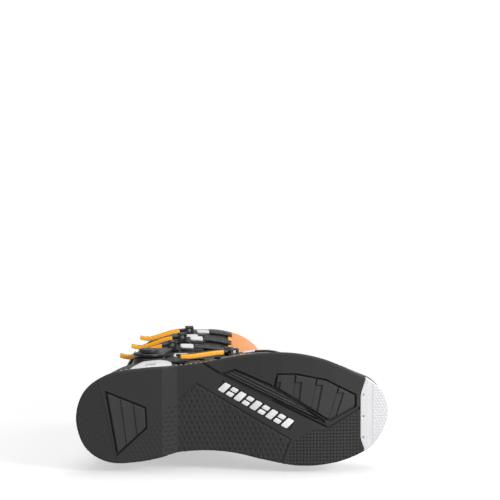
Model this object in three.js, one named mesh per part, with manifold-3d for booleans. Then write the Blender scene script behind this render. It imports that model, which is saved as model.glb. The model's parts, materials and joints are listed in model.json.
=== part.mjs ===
// An off-road riding boot for the right foot, standing on its sole.
// Millimetres. X points to the toe, -Y to the outer side, +Z up the leg.
// The origin is on the ground under the middle of the heel.
import * as THREE from 'three';
import { mergeVertices } from 'three/addons/utils/BufferGeometryUtils.js';
import Module from 'manifold-3d';

const wasm = await Module();
wasm.setup();

// Overall sizes.
const soleLength = 319.5;
const ballWidth = 114.5;
const bootHeight = 388;

// Walls and clearances.
const gap = 0.4;
const upperWall = 3.0;
const cuffWall = 3.2;
const linerWall = 5.5;
const guardWall = 2.6;
const plateWall = 1.8;
const strapWall = 2.0;
const boardWall = 2.6;
const footbedWall = 4.5;
const weltHeight = 2.6;

// Sole details.
const insertDepth = 3.0;
const grooveWidth = 1.6;
const inlayDepth = 1.4;
const inlayWidth = 12;
const plateLip = 4;
const shankWidth = 24;
const shankWall = 1.6;

// Ankle pivot.
const pivotX = 18;
const pivotZ = 112;
const flexForward = 20;
const flexBack = 12;
const flexMargin = 3;
const footFrontAngle = 6;
const footRearAngle = 188;
const bossRadius = 17;
const bossSide = 3.2;
const armWall = 4;
const boltRadius = 4;
const headRadius = 9;
const headHeight = 2.2;
const coverWall = 1.4;
const turnGap = 0.3;
const swingRoom = 1;
const bossDepth = 20;

// Shin flap: where it begins, and its clearance.
const openX = 100;
const flapSeam = 1.2;
const flapBottom = 184;
const ventWall = 1.2;

// Buckles.
const leverLength = 60;
const leverWall = 3;
const leverWidth = 14;
const knuckleRadius = 3.6;
const pinRadius = 1.8;
const earWall = 3;
const trimWidth = 3.6;
const trimWall = 4.4;
const strapWidth = 20;
const trimStart = 12;
const earReach = 5;
const baseBack = 16;
const baseFront = 7;
const strapStart = 9;
const paleLength = 15;

// The profiles below were drawn on a boot of this size, and stretch with the sizes above.
const drawn = { length: 319.5, width: 114.5, height: 388, ankle: 112 };
const far = 400;

const along = x => x * soleLength / drawn.length;
const across = y => y * ballWidth / drawn.width;
const rise = (bootHeight - drawn.ankle) / (drawn.height - drawn.ankle);
const up = z => (z <= drawn.ankle ? z : drawn.ankle + (z - drawn.ankle) * rise);
const sidePoint = ([x, z]) => [along(x), up(z)];
const planPoint = ([x, y]) => [along(x), across(y)];
const pivot = [along(pivotX), up(pivotZ)];

// Solids and meshes.

function solidOf(geometry) {
  const bare = geometry.clone();
  bare.deleteAttribute('normal');
  bare.deleteAttribute('uv');
  const merged = mergeVertices(bare, 1e-4);
  const vertProperties = Float32Array.from(merged.attributes.position.array);
  const triVerts = Uint32Array.from(merged.index.array);
  return new wasm.Manifold(new wasm.Mesh({ numProp: 3, vertProperties, triVerts }));
}

function geometryOf(solid) {
  const { vertProperties, triVerts, numProp } = solid.getMesh();
  const points = [];
  for (let i = 0; i < vertProperties.length; i += numProp) {
    points.push(vertProperties[i], vertProperties[i + 1], vertProperties[i + 2]);
  }
  const geometry = new THREE.BufferGeometry();
  geometry.setAttribute('position', new THREE.Float32BufferAttribute(points, 3));
  geometry.setIndex(Array.from(triVerts));
  geometry.computeVertexNormals();
  return geometry;
}

const looks = {
  rubber: { color: 0x383838, roughness: 0.75, metalness: 0 },
  insert: { color: 0x404040, roughness: 0.65, metalness: 0 },
  shell: { color: 0x242426, roughness: 0.4, metalness: 0 },
  leather: { color: 0x2a2a2c, roughness: 0.6, metalness: 0 },
  soft: { color: 0x303034, roughness: 0.9, metalness: 0 },
  white: { color: 0xebebf0, roughness: 0.35, metalness: 0 },
  orange: { color: 0xf5a623, roughness: 0.3, metalness: 0 },
  shin: { color: 0xe1a05a, roughness: 0.35, metalness: 0 },
  grey: { color: 0x5c5552, roughness: 0.5, metalness: 0 },
  steel: { color: 0x9a9a9e, roughness: 0.35, metalness: 0.9 },
};

const boot = new THREE.Group();

function addPiece(name, solid, look) {
  const mesh = new THREE.Mesh(geometryOf(solid), new THREE.MeshStandardMaterial(looks[look]));
  mesh.name = name;
  boot.add(mesh);
}

// Prisms.

function sidePrism(points, yLow = -far, yHigh = far) {
  const shape = new THREE.Shape(points.map(([x, z]) => new THREE.Vector2(x, z)));
  const prism = new THREE.ExtrudeGeometry(shape, { depth: yHigh - yLow, bevelEnabled: false });
  prism.rotateX(Math.PI / 2);
  prism.translate(0, yHigh, 0);
  return solidOf(prism);
}

function planPrism(points, zLow = -far, zHigh = far) {
  const shape = new THREE.Shape(points.map(([x, y]) => new THREE.Vector2(x, y)));
  const prism = new THREE.ExtrudeGeometry(shape, { depth: zHigh - zLow, bevelEnabled: false });
  prism.translate(0, 0, zLow);
  return solidOf(prism);
}

function crossRod(radius, [x, z], yLow, yHigh, sides = 24) {
  const rod = new THREE.CylinderGeometry(radius, radius, yHigh - yLow, sides);
  rod.translate(x, (yLow + yHigh) / 2, z);
  return solidOf(rod);
}

function uprightRod(radius, [x, y], zLow, zHigh, sides = 16) {
  const rod = new THREE.CylinderGeometry(radius, radius, zHigh - zLow, sides);
  rod.rotateX(Math.PI / 2);
  rod.translate(x, y, (zLow + zHigh) / 2);
  return solidOf(rod);
}

// Moves each side of a closed outline inwards.
function inset(points, distance) {
  const turn = Math.sign(THREE.ShapeUtils.area(points.map(([x, y]) => new THREE.Vector2(x, y))));
  const normal = (from, to) => {
    const edge = new THREE.Vector2(to[0] - from[0], to[1] - from[1]).normalize();
    return new THREE.Vector2(-edge.y * turn, edge.x * turn);
  };
  return points.map((point, i) => {
    const before = normal(points.at(i - 1), point);
    const after = normal(point, points[(i + 1) % points.length]);
    const reach = distance / (1 + before.dot(after));
    return [point[0] + (before.x + after.x) * reach, point[1] + (before.y + after.y) * reach];
  });
}

// The sole's outline seen from above, and its lower and upper lines seen from the side.

const outlinePoints = [
  [-49.5, 3], [-41, -25.5], [-16, -43], [17, -48.5], [49, -51], [79, -54.5], [110, -60.5], [143, -64.5],
  [175, -64], [205, -57.5], [232, -45.5], [252, -35], [265, -22], [270, -3], [265, 15], [252, 32.5],
  [232, 43], [205, 49.5], [175, 50.5], [143, 45], [110, 38.5], [79, 37], [49, 40], [17, 46.5],
  [-17, 47], [-39.5, 33],
];
const outlineSamples = 60;
const outlineCurve = new THREE.CatmullRomCurve3(
  outlinePoints.map(([x, y]) => new THREE.Vector3(along(x), across(y), 0)), true);
const outline = outlineCurve.getSpacedPoints(outlineSamples).slice(0, -1).map(({ x, y }) => [x, y]);

const groundLine = [
  [-60, 0], [39, 0], [53, 11], [100, 8], [140, 2], [160, 0], [192, 0], [215, 2], [240, 6.5],
  [262, 12.5], [285, 20],
];
const deckLine = [
  [-60, 30], [60, 30], [110, 26], [150, 21.5], [190, 20], [225, 22], [250, 26.5], [285, 36],
];

function soleBand(low, lowShift, high, highShift) {
  const lowSide = low.map(([x, z]) => [along(x), z + lowShift]);
  const highSide = high.map(([x, z]) => [along(x), z + highShift]);
  return sidePrism([...lowSide, ...highSide.reverse()]);
}

const above = shift => soleBand(deckLine, shift, deckLine, far);

// The boot's skin: sections fan round the ankle from the toe tip to the top of the shaft.
// Each has a front point, a back point, a half width, a sideways shift, and how square it is
// towards the front and towards the back.
const sections = [
  [262, 42, 262, 28, 11, -3, 2.2, 2.6],
  [259, 53, 259, 18, 21, -3, 2.2, 3.0],
  [251, 63, 250, 14, 29.5, -3, 2.2, 3.2],
  [237, 72, 235, 12, 36, -2.5, 2.2, 3.4],
  [217, 82, 212, 11, 43.5, -3.5, 2.2, 3.5],
  [196, 93, 184, 11, 48.5, -5.5, 2.2, 3.6],
  [178, 107, 150, 12, 49, -7.5, 2.2, 3.6],
  [166, 124, 112, 15, 47, -9, 2.2, 3.6],
  [159, 145, 70, 18, 45.5, -6.5, 2.3, 3.4],
  [155, 168, 25, 19, 45, -4, 2.3, 3.0],
  [153, 192, -20, 20, 45, -2, 2.4, 2.7],
  [151, 214, -40, 48, 45, -1, 2.4, 2.4],
  [150, 237, -37, 88, 45.5, -1, 2.5, 2.3],
  [149, 260, -28, 130, 47, -1, 2.5, 2.3],
  [148, 284, -22, 175, 50, -1, 2.5, 2.3],
  [146, 307, -20, 225, 53, -1, 2.5, 2.3],
  [145, 331, -21, 278, 55, -1, 2.5, 2.3],
  [143, 356, -22, 330, 56, -1, 2.5, 2.3],
  [141, 384, -22, 372, 56, -1, 2.5, 2.3],
  [139, 414, -21, 410, 56, -1, 2.5, 2.3],
];
const ringCount = 21;
const ringSides = 22;
const toeFade = 3.5 / (sections.length - 1);

const lineOf = pick => new THREE.CatmullRomCurve3(sections.map(pick));
const frontLine = lineOf(([x, z]) => new THREE.Vector3(along(x), 0, up(z)));
const backLine = lineOf(([, , x, z]) => new THREE.Vector3(along(x), 0, up(z)));
const widthLine = lineOf(s => new THREE.Vector3(across(s[4]), across(s[5]), 0));
const squareLine = lineOf(s => new THREE.Vector3(s[6], s[7], 0));

// A point of the skin, grown outwards by a distance.
function skinPoint(t, angle, grow) {
  const front = frontLine.getPoint(t);
  const back = backLine.getPoint(t);
  const width = widthLine.getPoint(t);
  const square = squareLine.getPoint(t);
  const half = front.distanceTo(back) / 2 + grow;
  const upwards = front.clone().sub(back).normalize();
  const centre = front.clone().add(back).multiplyScalar(1 / 2);
  centre.x += grow * Math.max(0, 1 - t / toeFade);
  const power = 2 / (Math.sin(angle) >= 0 ? square.x : square.y);
  const side = Math.sign(Math.cos(angle)) * Math.abs(Math.cos(angle)) ** power;
  const lift = Math.sign(Math.sin(angle)) * Math.abs(Math.sin(angle)) ** power;
  const point = centre.addScaledVector(upwards, lift * half);
  point.y = width.y + side * (width.x + grow);
  return point;
}

function ringFits(t, grow) {
  const half = frontLine.getPoint(t).distanceTo(backLine.getPoint(t)) / 2 + grow;
  return half > 1.5 && widthLine.getPoint(t).x + grow > 3;
}

// The whole skin as one closed solid, grown outwards by a distance.
function skin(grow) {
  const steps = Array.from({ length: ringCount + 1 }, (_, i) => i / ringCount);
  const rings = steps.filter(t => ringFits(t, grow)).map(t => Array.from(
    { length: ringSides }, (_, j) => skinPoint(t, 2 * Math.PI * (j + 0.5) / ringSides, grow)));
  const points = rings.flat();
  const faces = [];
  for (let i = 0; i + 1 < rings.length; i++) {
    for (let j = 0; j < ringSides; j++) {
      const a = i * ringSides + j;
      const b = i * ringSides + (j + 1) % ringSides;
      faces.push(a, b + ringSides, b, a, a + ringSides, b + ringSides);
    }
  }
  const capEnd = (ring, first, flip) => {
    const middle = ring.reduce((sum, p) => sum.add(p), new THREE.Vector3());
    points.push(middle.multiplyScalar(1 / ringSides));
    for (let j = 0; j < ringSides; j++) {
      const pair = [first + j, first + (j + 1) % ringSides];
      faces.push(points.length - 1, ...(flip ? pair.reverse() : pair));
    }
  };
  const lastRing = (rings.length - 1) * ringSides;
  capEnd(rings[0], 0, false);
  capEnd(rings.at(-1), lastRing, true);
  const geometry = new THREE.BufferGeometry();
  geometry.setAttribute('position', new THREE.Float32BufferAttribute(
    points.flatMap(({ x, y, z }) => [x, y, z]), 3));
  geometry.setIndex(faces);
  return solidOf(geometry);
}

const layer = (inner, outer) => skin(outer).subtract(skin(inner));

// How far the skin reaches sideways near a place seen from the side; outer side is -1.
function wallAt([x, z], side, spread = 0) {
  let reach = 0;
  for (let i = 0; i <= 120; i++) {
    for (let j = 0; j <= 48; j++) {
      const angle = (side < 0 ? Math.PI / 2 : -Math.PI / 2) + Math.PI * j / 48;
      const point = skinPoint(i / 120, angle, 0);
      if (Math.hypot(point.x - x, point.z - z) < spread + 6) {
        reach = Math.max(reach, point.y * side);
      }
    }
  }
  return reach;
}

// Wedges round the ankle pivot: the foot's region, and the cuff's, which clears it when it swings.

const ray = (degrees, length = far * 2) => [
  pivot[0] + length * Math.cos(THREE.MathUtils.degToRad(degrees)),
  pivot[1] + length * Math.sin(THREE.MathUtils.degToRad(degrees)),
];
const cuffFrontAngle = footFrontAngle + flexForward + flexMargin;
const cuffRearAngle = footRearAngle - flexBack - flexMargin;
const bellowsGap = 1;
const wedge = (from, to) => {
  const count = 6;
  const rim = Array.from({ length: count + 1 }, (_, i) => ray(from + (to - from) * i / count));
  return sidePrism([pivot, ...rim]);
};
const footRegion = wedge(footRearAngle, 360 + footFrontAngle);
const cuffRegion = wedge(cuffFrontAngle, cuffRearAngle)
  .subtract(crossRod(bossRadius + 1.5 * swingRoom, pivot, -far, far));

// Sole pieces.

const soleBlock = planPrism(outline).intersect(soleBand(groundLine, 0, deckLine, 0));

const treads = {
  heel_tread_insert: [[-20, -26.5], [22.6, -9.4], [23.6, 12.4], [-8, 41]],
  forefoot_tread_insert: [
    [155, -44], [176, -44], [206, -38], [237, -22], [237, -9], [209, 6], [152, -29.5],
  ],
  ribbed_tread_insert: [[98, -43], [113, -48], [149, -33], [204.5, 4], [205, 8]],
};

const inlayFrom = planPoint([97, -31]);
const inlayTo = planPoint([171, 9.5]);
const inlayTurn = Math.atan2(inlayTo[1] - inlayFrom[1], inlayTo[0] - inlayFrom[0]);
const inlaySide = [-Math.sin(inlayTurn) * inlayWidth / 2, Math.cos(inlayTurn) * inlayWidth / 2];
const inlayOutline = [
  [inlayFrom[0] - inlaySide[0], inlayFrom[1] - inlaySide[1]],
  [inlayTo[0] - inlaySide[0], inlayTo[1] - inlaySide[1]],
  [inlayTo[0] + inlaySide[0], inlayTo[1] + inlaySide[1]],
  [inlayFrom[0] + inlaySide[0], inlayFrom[1] + inlaySide[1]],
];

const plateZone = [[254, -60], [241, -22], [241, 24], [254, 60], [300, 60], [300, -60]]
  .map(planPoint);
const plateCore = wall => planPrism(inset(outline, wall))
  .intersect(soleBand(groundLine, wall, deckLine, far));
const plateShape = planPrism(plateZone).intersect(planPrism(outline))
  .intersect(soleBand(groundLine, 0, deckLine, -plateLip)).subtract(plateCore(plateWall));
const plateRoom = planPrism(inset(plateZone, -gap))
  .intersect(soleBand(groundLine, -far, deckLine, gap - plateLip))
  .subtract(plateCore(plateWall + gap));

const shankPlan = [
  [along(20), -shankWidth / 2], [along(150), -shankWidth / 2],
  [along(150), shankWidth / 2], [along(20), shankWidth / 2],
];

let outsole = soleBlock.subtract(plateRoom)
  .subtract(planPrism(inlayOutline).intersect(soleBand(groundLine, -far, groundLine, inlayDepth)))
  .subtract(planPrism(inset(shankPlan, -gap))
    .intersect(soleBand(deckLine, -shankWall - 2 * gap, deckLine, far)));
for (const corners of Object.values(treads)) {
  const pocket = planPrism(corners.map(planPoint));
  outsole = outsole.subtract(pocket.intersect(soleBand(groundLine, -far, groundLine, insertDepth)));
}
addPiece('outsole', outsole, 'rubber');

for (const [name, corners] of Object.entries(treads)) {
  const block = planPrism(inset(corners.map(planPoint), grooveWidth));
  addPiece(name, block.intersect(soleBand(groundLine, 0, groundLine, insertDepth - gap)), 'insert');
}
addPiece('sole_inlay', planPrism(inset(inlayOutline, gap))
  .intersect(soleBand(groundLine, gap / 2, groundLine, inlayDepth - gap)), 'white');

addPiece('toe_guard_plate', plateShape, 'white');

addPiece('welt', planPrism(inset(outline, 1))
  .intersect(soleBand(deckLine, gap, deckLine, gap + weltHeight)).subtract(skin(gap)), 'leather');
const boardTop = gap + boardWall;
addPiece('midsole_board', skin(-upperWall - gap)
  .intersect(soleBand(deckLine, gap, deckLine, boardTop)), 'grey');
addPiece('steel_shank', planPrism(shankPlan)
  .intersect(soleBand(deckLine, -shankWall - gap, deckLine, -gap)), 'steel');
addPiece('footbed', skin(-upperWall - linerWall - 2 * gap)
  .intersect(soleBand(deckLine, boardTop + gap, deckLine, boardTop + gap + footbedWall)), 'soft');

// Foot pieces.

const footLinerOuter = -upperWall - gap;
const weltTop = gap + weltHeight + gap;
const sideOuter = points => sidePrism(points.map(sidePoint), -far, 0);
const sideInner = points => sidePrism(points.map(sidePoint), 0, far);
const sideBoth = points => sidePrism(points.map(sidePoint));

addPiece('foot_upper', layer(-upperWall, 0).intersect(footRegion).intersect(above(gap)), 'leather');
addPiece('foot_liner', layer(footLinerOuter - linerWall, footLinerOuter)
  .intersect(footRegion).intersect(above(boardTop + gap)), 'soft');

const guardLayer = layer(gap, gap + guardWall);
const toeRegion = [[192, 0], [300, 0], [300, 150], [222, 150], [214, 76]];
addPiece('toe_cap', guardLayer.intersect(sideBoth(toeRegion)).intersect(above(weltTop)), 'shell');

const frameLeg = [[6, 98], [34, 104], [88, 62], [96, 34], [66, 34], [58, 54], [24, 84]];
const frameRoom = inset(frameLeg.map(sidePoint), -swingRoom);
const pivotRoom = crossRod(bossRadius + swingRoom, pivot, -far, far);
const counterRegion = [[-90, 0], [54, 0], [50, 50], [20, 80], [-2, 92], [-90, 97]];
addPiece('heel_counter', guardLayer.intersect(sideBoth(counterRegion)).intersect(footRegion)
  .intersect(above(weltTop)).subtract(sidePrism(frameRoom)).subtract(pivotRoom), 'shell');

const plateLayer = layer(2 * gap + guardWall, 2 * gap + 2 * guardWall);
const heelPlate = [[2, 40], [14, 66], [34, 62], [46, 46], [46, 36], [2, 36]];
const heelSlot = [[14, 44], [17, 50], [30, 48], [28, 43]];
addPiece('heel_guard_plate', plateLayer.intersect(sideOuter(heelPlate))
  .subtract(sideOuter(heelSlot)), 'white');
const outerGuard = [[101, 30], [97, 54], [106, 66], [128, 68], [150, 64], [156, 30]];
addPiece('outer_foot_guard', guardLayer.intersect(sideOuter(outerGuard))
  .intersect(above(weltTop)), 'grey');
const innerGuard = [[101, 30], [98, 62], [112, 92], [150, 84], [184, 66], [186, 30]];
addPiece('inner_foot_guard', guardLayer.intersect(sideInner(innerGuard))
  .intersect(above(weltTop)), 'shell');

// Ankle frames, bolts and arms, on flat faces either side of the pivot.

const sides = { outer: -1, inner: 1 };
const armBar = [[3, 116], [33, 116], [40, 164], [8, 168]];
for (const [where, side] of Object.entries(sides)) {
  const face = wallAt(pivot, side, bossRadius) + gap + bossSide;
  const span = (from, to) => (side < 0 ? [-to, -from] : [from, to]);
  const boss = crossRod(bossRadius, pivot, ...span(face - bossDepth, face), 28);
  const leg = guardLayer.intersect(sidePrism(frameLeg.map(sidePoint), ...span(0, far)))
    .subtract(crossRod(bossRadius + 2 * swingRoom, pivot, ...span(face, far)));
  const hole = radius => crossRod(radius, pivot, ...span(0, far), 20);
  addPiece(`ankle_frame_${where}`, boss.subtract(skin(gap)).add(leg).intersect(above(weltTop))
    .subtract(hole(boltRadius + gap)), 'shell');

  const armInner = face + gap;
  const armOuter = armInner + armWall;
  const armSpan = span(armInner, armOuter);
  const bar = sidePrism(armBar.map(sidePoint), ...armSpan);
  addPiece(`hinge_arm_${where}`, crossRod(bossRadius, pivot, ...armSpan, 28).add(bar)
    .subtract(skin(gap)).subtract(hole(boltRadius + turnGap)), 'shell');
  const headInner = armOuter + gap;
  const head = crossRod(headRadius, pivot, ...span(headInner, headInner + headHeight), 20);
  const stem = crossRod(boltRadius, pivot, ...span(face - bossSide, headInner + headHeight / 2), 20);
  addPiece(`pivot_bolt_${where}`, head.add(stem), 'steel');
  const coverInner = headInner + headHeight + gap;
  const coverSpan = span(headInner, coverInner + coverWall);
  const cap = crossRod(headRadius + gap + coverWall, pivot, ...coverSpan, 24);
  const capHollow = crossRod(headRadius + gap, pivot, ...span(0, coverInner), 24);
  addPiece(`pivot_cover_${where}`, cap.subtract(capHollow), 'grey');
}

// Cuff pieces. The front opening leaves room for the shin flap.

const shellTop = [[-60, 350], [openX, 362], [160, 366]];
const backOf = shift => sideBoth([[-90, 60], [openX - shift, 60], [openX - shift, 500], [-90, 500]]);
const frontOf = shift => sideBoth([[openX + shift, 60], [300, 60], [300, 500], [openX + shift, 500]]);
const under = shift => sidePrism([
  [-far, -far], [far, -far],
  ...shellTop.toReversed().map(sidePoint).map(([x, z]) => [x, z + shift]),
  [-far, up(shellTop[0][1]) + shift]]);
const over = shift => sidePrism([
  [-far, up(shellTop[0][1]) + shift],
  ...shellTop.map(sidePoint).map(([x, z]) => [x, z + shift]),
  [far, up(shellTop.at(-1)[1]) + shift], [far, far * 2], [-far, far * 2]]);
const topCut = sidePrism([[-far, -far], [far, -far], [far, bootHeight], [along(60), bootHeight - 2],
  [along(-60), bootHeight - 14], [-far, bootHeight - 14]]);

addPiece('cuff_shell', layer(-cuffWall, 0).intersect(cuffRegion).intersect(backOf(0))
  .intersect(under(0)), 'shell');
addPiece('cuff_liner', layer(-cuffWall - gap - linerWall, -cuffWall - gap).intersect(cuffRegion)
  .intersect(backOf(0)).intersect(under(0)), 'soft');
addPiece('collar', layer(-cuffWall - gap - linerWall, -gap).intersect(cuffRegion).intersect(backOf(0))
  .intersect(over(gap)).intersect(topCut), 'soft');
addPiece('calf_plate', guardLayer.intersect(cuffRegion)
  .intersect(sideBoth([[-90, 136], [-18, 146], [-13, 182], [-13, 330], [-90, 326]])), 'leather');
addPiece('inner_heat_guard', guardLayer.intersect(cuffRegion)
  .intersect(sideInner([[46, 172], [88, 172], [88, 340], [12, 334], [12, 186]])), 'leather');
addPiece('outer_side_plate', guardLayer.intersect(cuffRegion)
  .intersect(sideOuter([[8, 272], [44, 277], [66, 284], [62, 291], [14, 284]])), 'white');

// Soft bellows in the wedge gaps, the front one reaching up to the shin flap.

const bellowsLayer = layer(-upperWall, 0);
const bellowsRoom = crossRod(along(46), pivot, -far, far);
const gussetTop = flapBottom - gap;
const gusset = sideBoth([
  [openX + flapSeam, 90], [300, 90], [300, gussetTop], [openX + flapSeam, gussetTop],
]);
const belowFlap = sideBoth([[-90, 0], [300, 0], [300, gussetTop], [-90, gussetTop]]);
addPiece('front_bellows', bellowsLayer.intersect(wedge(footFrontAngle + bellowsGap, 180))
  .intersect(wedge(0, cuffFrontAngle - bellowsGap).add(gusset)).intersect(belowFlap)
  .subtract(bellowsRoom), 'soft');
addPiece('rear_bellows', bellowsLayer
  .intersect(wedge(cuffRearAngle + bellowsGap, footRearAngle - bellowsGap))
  .subtract(crossRod(bossRadius + 4, pivot, -far, far)), 'soft');

// Shin flap. It turns on the inner side, so its inner edge stops in front of the hinge line.

const flapOuterEdge = [[84, 180], [74, 204], [74, 352], [82, 361]];
const flapInnerEdge = [[101, 180], [101, 361]];
const flapShape = edge => [...edge, [300, 366], [300, 180]];
const flapPrism = sideOuter(flapShape(flapOuterEdge)).add(sideInner(flapShape(flapInnerEdge)));
const flapRoom = sideBoth([[0, flapBottom], [300, flapBottom], [300, 500], [0, 500]]);
const ventShape = [[126, 205], [146, 214], [128, 250]].map(sidePoint);
addPiece('shin_plate', guardLayer.intersect(flapRoom).intersect(flapPrism)
  .subtract(sidePrism(ventShape, -far, 0)), 'shin');
addPiece('shin_vent', layer(gap, gap + ventWall)
  .intersect(sidePrism(inset(ventShape, gap), -far, 0)), 'shell');
addPiece('tongue', layer(-cuffWall - gap - linerWall, -gap).intersect(flapRoom)
  .intersect(frontOf(flapSeam)).intersect(topCut), 'soft');

// Buckles. Each has a base, a pin and a lever on the outer side, and a strap. The shaft's straps
// end on the shin plate's border, and the instep's goes over to the inner side.

const leverLine = [[0, 0], [-20, -4], [-38, -13], [-50, -18], [-60, -15]];
const leverDrawn = 60;

function leverProfile(depth, start, wall) {
  const curve = new THREE.CatmullRomCurve3(leverLine.map(([u, w]) => new THREE.Vector3(
    u * leverLength / leverDrawn, w * depth * leverLength / leverDrawn, 0)));
  const count = 10;
  const first = start / leverLength;
  const steps = Array.from({ length: count + 1 }, (_, i) => first + (1 - first) * i / count);
  const edge = side => steps.map(t => {
    const point = curve.getPointAt(t);
    const tangent = curve.getTangentAt(t);
    return [point.x - tangent.y * side * wall / 2, point.y + tangent.x * side * wall / 2];
  });
  return [...edge(1), ...edge(-1).reverse()];
}

// A frame at the pin: u runs forwards along the strap, v across it, w outwards.
function buckleFrame({ place, turn }) {
  const [x, z] = sidePoint(place);
  const face = wallAt([x, z], -1);
  const lift = gap + guardWall + turnGap + knuckleRadius;
  const angle = THREE.MathUtils.degToRad(turn);
  const matrix = new THREE.Matrix4().makeBasis(
    new THREE.Vector3(Math.cos(angle), 0, Math.sin(angle)),
    new THREE.Vector3(0, -1, 0),
    new THREE.Vector3(Math.sin(angle), 0, -Math.cos(angle)));
  matrix.setPosition(x, -face - lift, z);
  return { matrix, face, strip: (u0, u1, v0, v1) => [[u0, v0], [u1, v0], [u1, v1], [u0, v1]].map(
    ([u, v]) => [x + u * Math.cos(angle) - v * Math.sin(angle),
      z + u * Math.sin(angle) + v * Math.cos(angle)]) };
}

// A flat profile in u and w, extruded from v0 to v1.
function plateOn(matrix, profile, v0, v1) {
  const shape = new THREE.Shape(profile.map(([u, w]) => new THREE.Vector2(u, w)));
  const plate = new THREE.ExtrudeGeometry(shape, { depth: v1 - v0, bevelEnabled: false });
  plate.translate(0, 0, -v1);
  plate.applyMatrix4(matrix);
  return solidOf(plate);
}

function rodOn(matrix, radius, v0, v1, sides = 14) {
  const rod = new THREE.CylinderGeometry(radius, radius, v1 - v0, sides);
  rod.rotateX(Math.PI / 2);
  rod.translate(0, 0, -(v0 + v1) / 2);
  rod.applyMatrix4(matrix);
  return solidOf(rod);
}

const buckles = {
  low: { place: [39, 196], turn: 4, depth: 0.8, outerEnd: 106 },
  mid: { place: [48, 248], turn: 4, depth: 0.7, outerEnd: 106 },
  high: { place: [54, 304], turn: 4, depth: 0.6, outerEnd: 106 },
  instep: { place: [108, 84], turn: 20, depth: 0.2, innerEnd: 128 },
};
for (const [name, buckle] of Object.entries(buckles)) {
  const { matrix, face, strip } = buckleFrame(buckle);
  const half = leverWidth / 2;
  const earOuter = half + turnGap + earWall;
  const pinHole = rodOn(matrix, pinRadius + turnGap, -far / 4, far / 4);

  const ears = [-1, 1].map(side => {
    const from = side < 0 ? -earOuter : half + turnGap;
    const ear = sidePrism(strip(-earReach, earReach, from, from + earWall),
      -face - gap - guardWall - turnGap - 2 * knuckleRadius, 0);
    return ear.subtract(skin(gap + guardWall / 2));
  });
  const pad = strip(-baseBack, baseFront, -earOuter, earOuter);
  const base = guardLayer.intersect(sidePrism(pad, -far, 0));
  addPiece(`buckle_base_${name}`, base.add(ears[0]).add(ears[1]).subtract(pinHole), 'shell');
  addPiece(`lever_pin_${name}`, rodOn(matrix, pinRadius, -earOuter, earOuter), 'steel');

  const lever = plateOn(matrix, leverProfile(buckle.depth, 0, leverWall), -half, half)
    .add(rodOn(matrix, knuckleRadius, -half, half)).subtract(pinHole);
  addPiece(`lever_${name}`, lever, 'shell');
  addPiece(`lever_trim_${name}`, plateOn(matrix, leverProfile(buckle.depth, trimStart, trimWall),
    -half - gap - trimWidth, -half - gap), 'orange');

  const strapLayer = layer(2 * gap + guardWall, 2 * gap + guardWall + strapWall);
  const v = strapWidth / 2;
  const paleEnd = strapStart + paleLength;
  const run = strip(paleEnd + gap, far, -v, v);
  let reach = sidePrism(run, -far, 0);
  if (buckle.outerEnd) {
    reach = reach.intersect(sideOuter([[-90, 0], [buckle.outerEnd, 0], [buckle.outerEnd, far], [-90, far]]));
  } else {
    const innerSide = sideInner([[buckle.innerEnd, 0], [300, 0], [300, far], [buckle.innerEnd, far]]);
    reach = reach.add(sidePrism(run, 0, far).intersect(innerSide));
  }
  const strap = strapLayer.intersect(reach);
  addPiece(`strap_${name}`, strap, 'shell');
  addPiece(`strap_end_${name}`, strapLayer.intersect(
    sidePrism(strip(strapStart, paleEnd, -v, v), -far, 0)), 'white');
}

export default boot;
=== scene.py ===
import json
import math

import bmesh
import bpy
import numpy as np
from mathutils import Matrix, Vector


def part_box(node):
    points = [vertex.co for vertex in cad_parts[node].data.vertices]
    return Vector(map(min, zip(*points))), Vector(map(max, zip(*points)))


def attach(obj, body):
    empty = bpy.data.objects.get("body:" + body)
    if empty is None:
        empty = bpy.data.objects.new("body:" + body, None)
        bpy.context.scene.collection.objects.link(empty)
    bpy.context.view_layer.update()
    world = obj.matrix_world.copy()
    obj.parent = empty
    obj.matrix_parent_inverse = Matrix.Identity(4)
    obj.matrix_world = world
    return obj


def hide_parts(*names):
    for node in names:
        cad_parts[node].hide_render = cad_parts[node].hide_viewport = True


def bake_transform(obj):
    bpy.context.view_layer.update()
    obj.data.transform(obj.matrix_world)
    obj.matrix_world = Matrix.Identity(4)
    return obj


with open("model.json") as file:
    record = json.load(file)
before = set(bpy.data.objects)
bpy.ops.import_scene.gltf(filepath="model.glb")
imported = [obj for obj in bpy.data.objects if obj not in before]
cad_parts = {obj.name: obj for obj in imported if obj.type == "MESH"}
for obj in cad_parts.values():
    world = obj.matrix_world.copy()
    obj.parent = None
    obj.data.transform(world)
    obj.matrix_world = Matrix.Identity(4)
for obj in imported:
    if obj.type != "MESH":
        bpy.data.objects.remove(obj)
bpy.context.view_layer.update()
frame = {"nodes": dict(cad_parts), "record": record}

mm = 0.001


# shader helpers: a Wire is a socket that adds its own Math nodes

class Wire:
    def __init__(self, shader, socket):
        self.shader, self.socket = shader, socket

    def math(self, operation, *others):
        inputs = dict(enumerate((self, *others)))
        return self.shader.node("ShaderNodeMath", {"operation": operation}, inputs)

    def __add__(self, other):
        return self.math("ADD", other)

    def __sub__(self, other):
        return self.math("SUBTRACT", other)

    def __mul__(self, other):
        return self.math("MULTIPLY", other)

    def __pow__(self, other):
        return self.math("POWER", other)
    __radd__ = __add__
    __rmul__ = __mul__

    def __rsub__(self, other):
        return self.shader.node("ShaderNodeMath", {"operation": "SUBTRACT"}, {0: other, 1: self})


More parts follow.
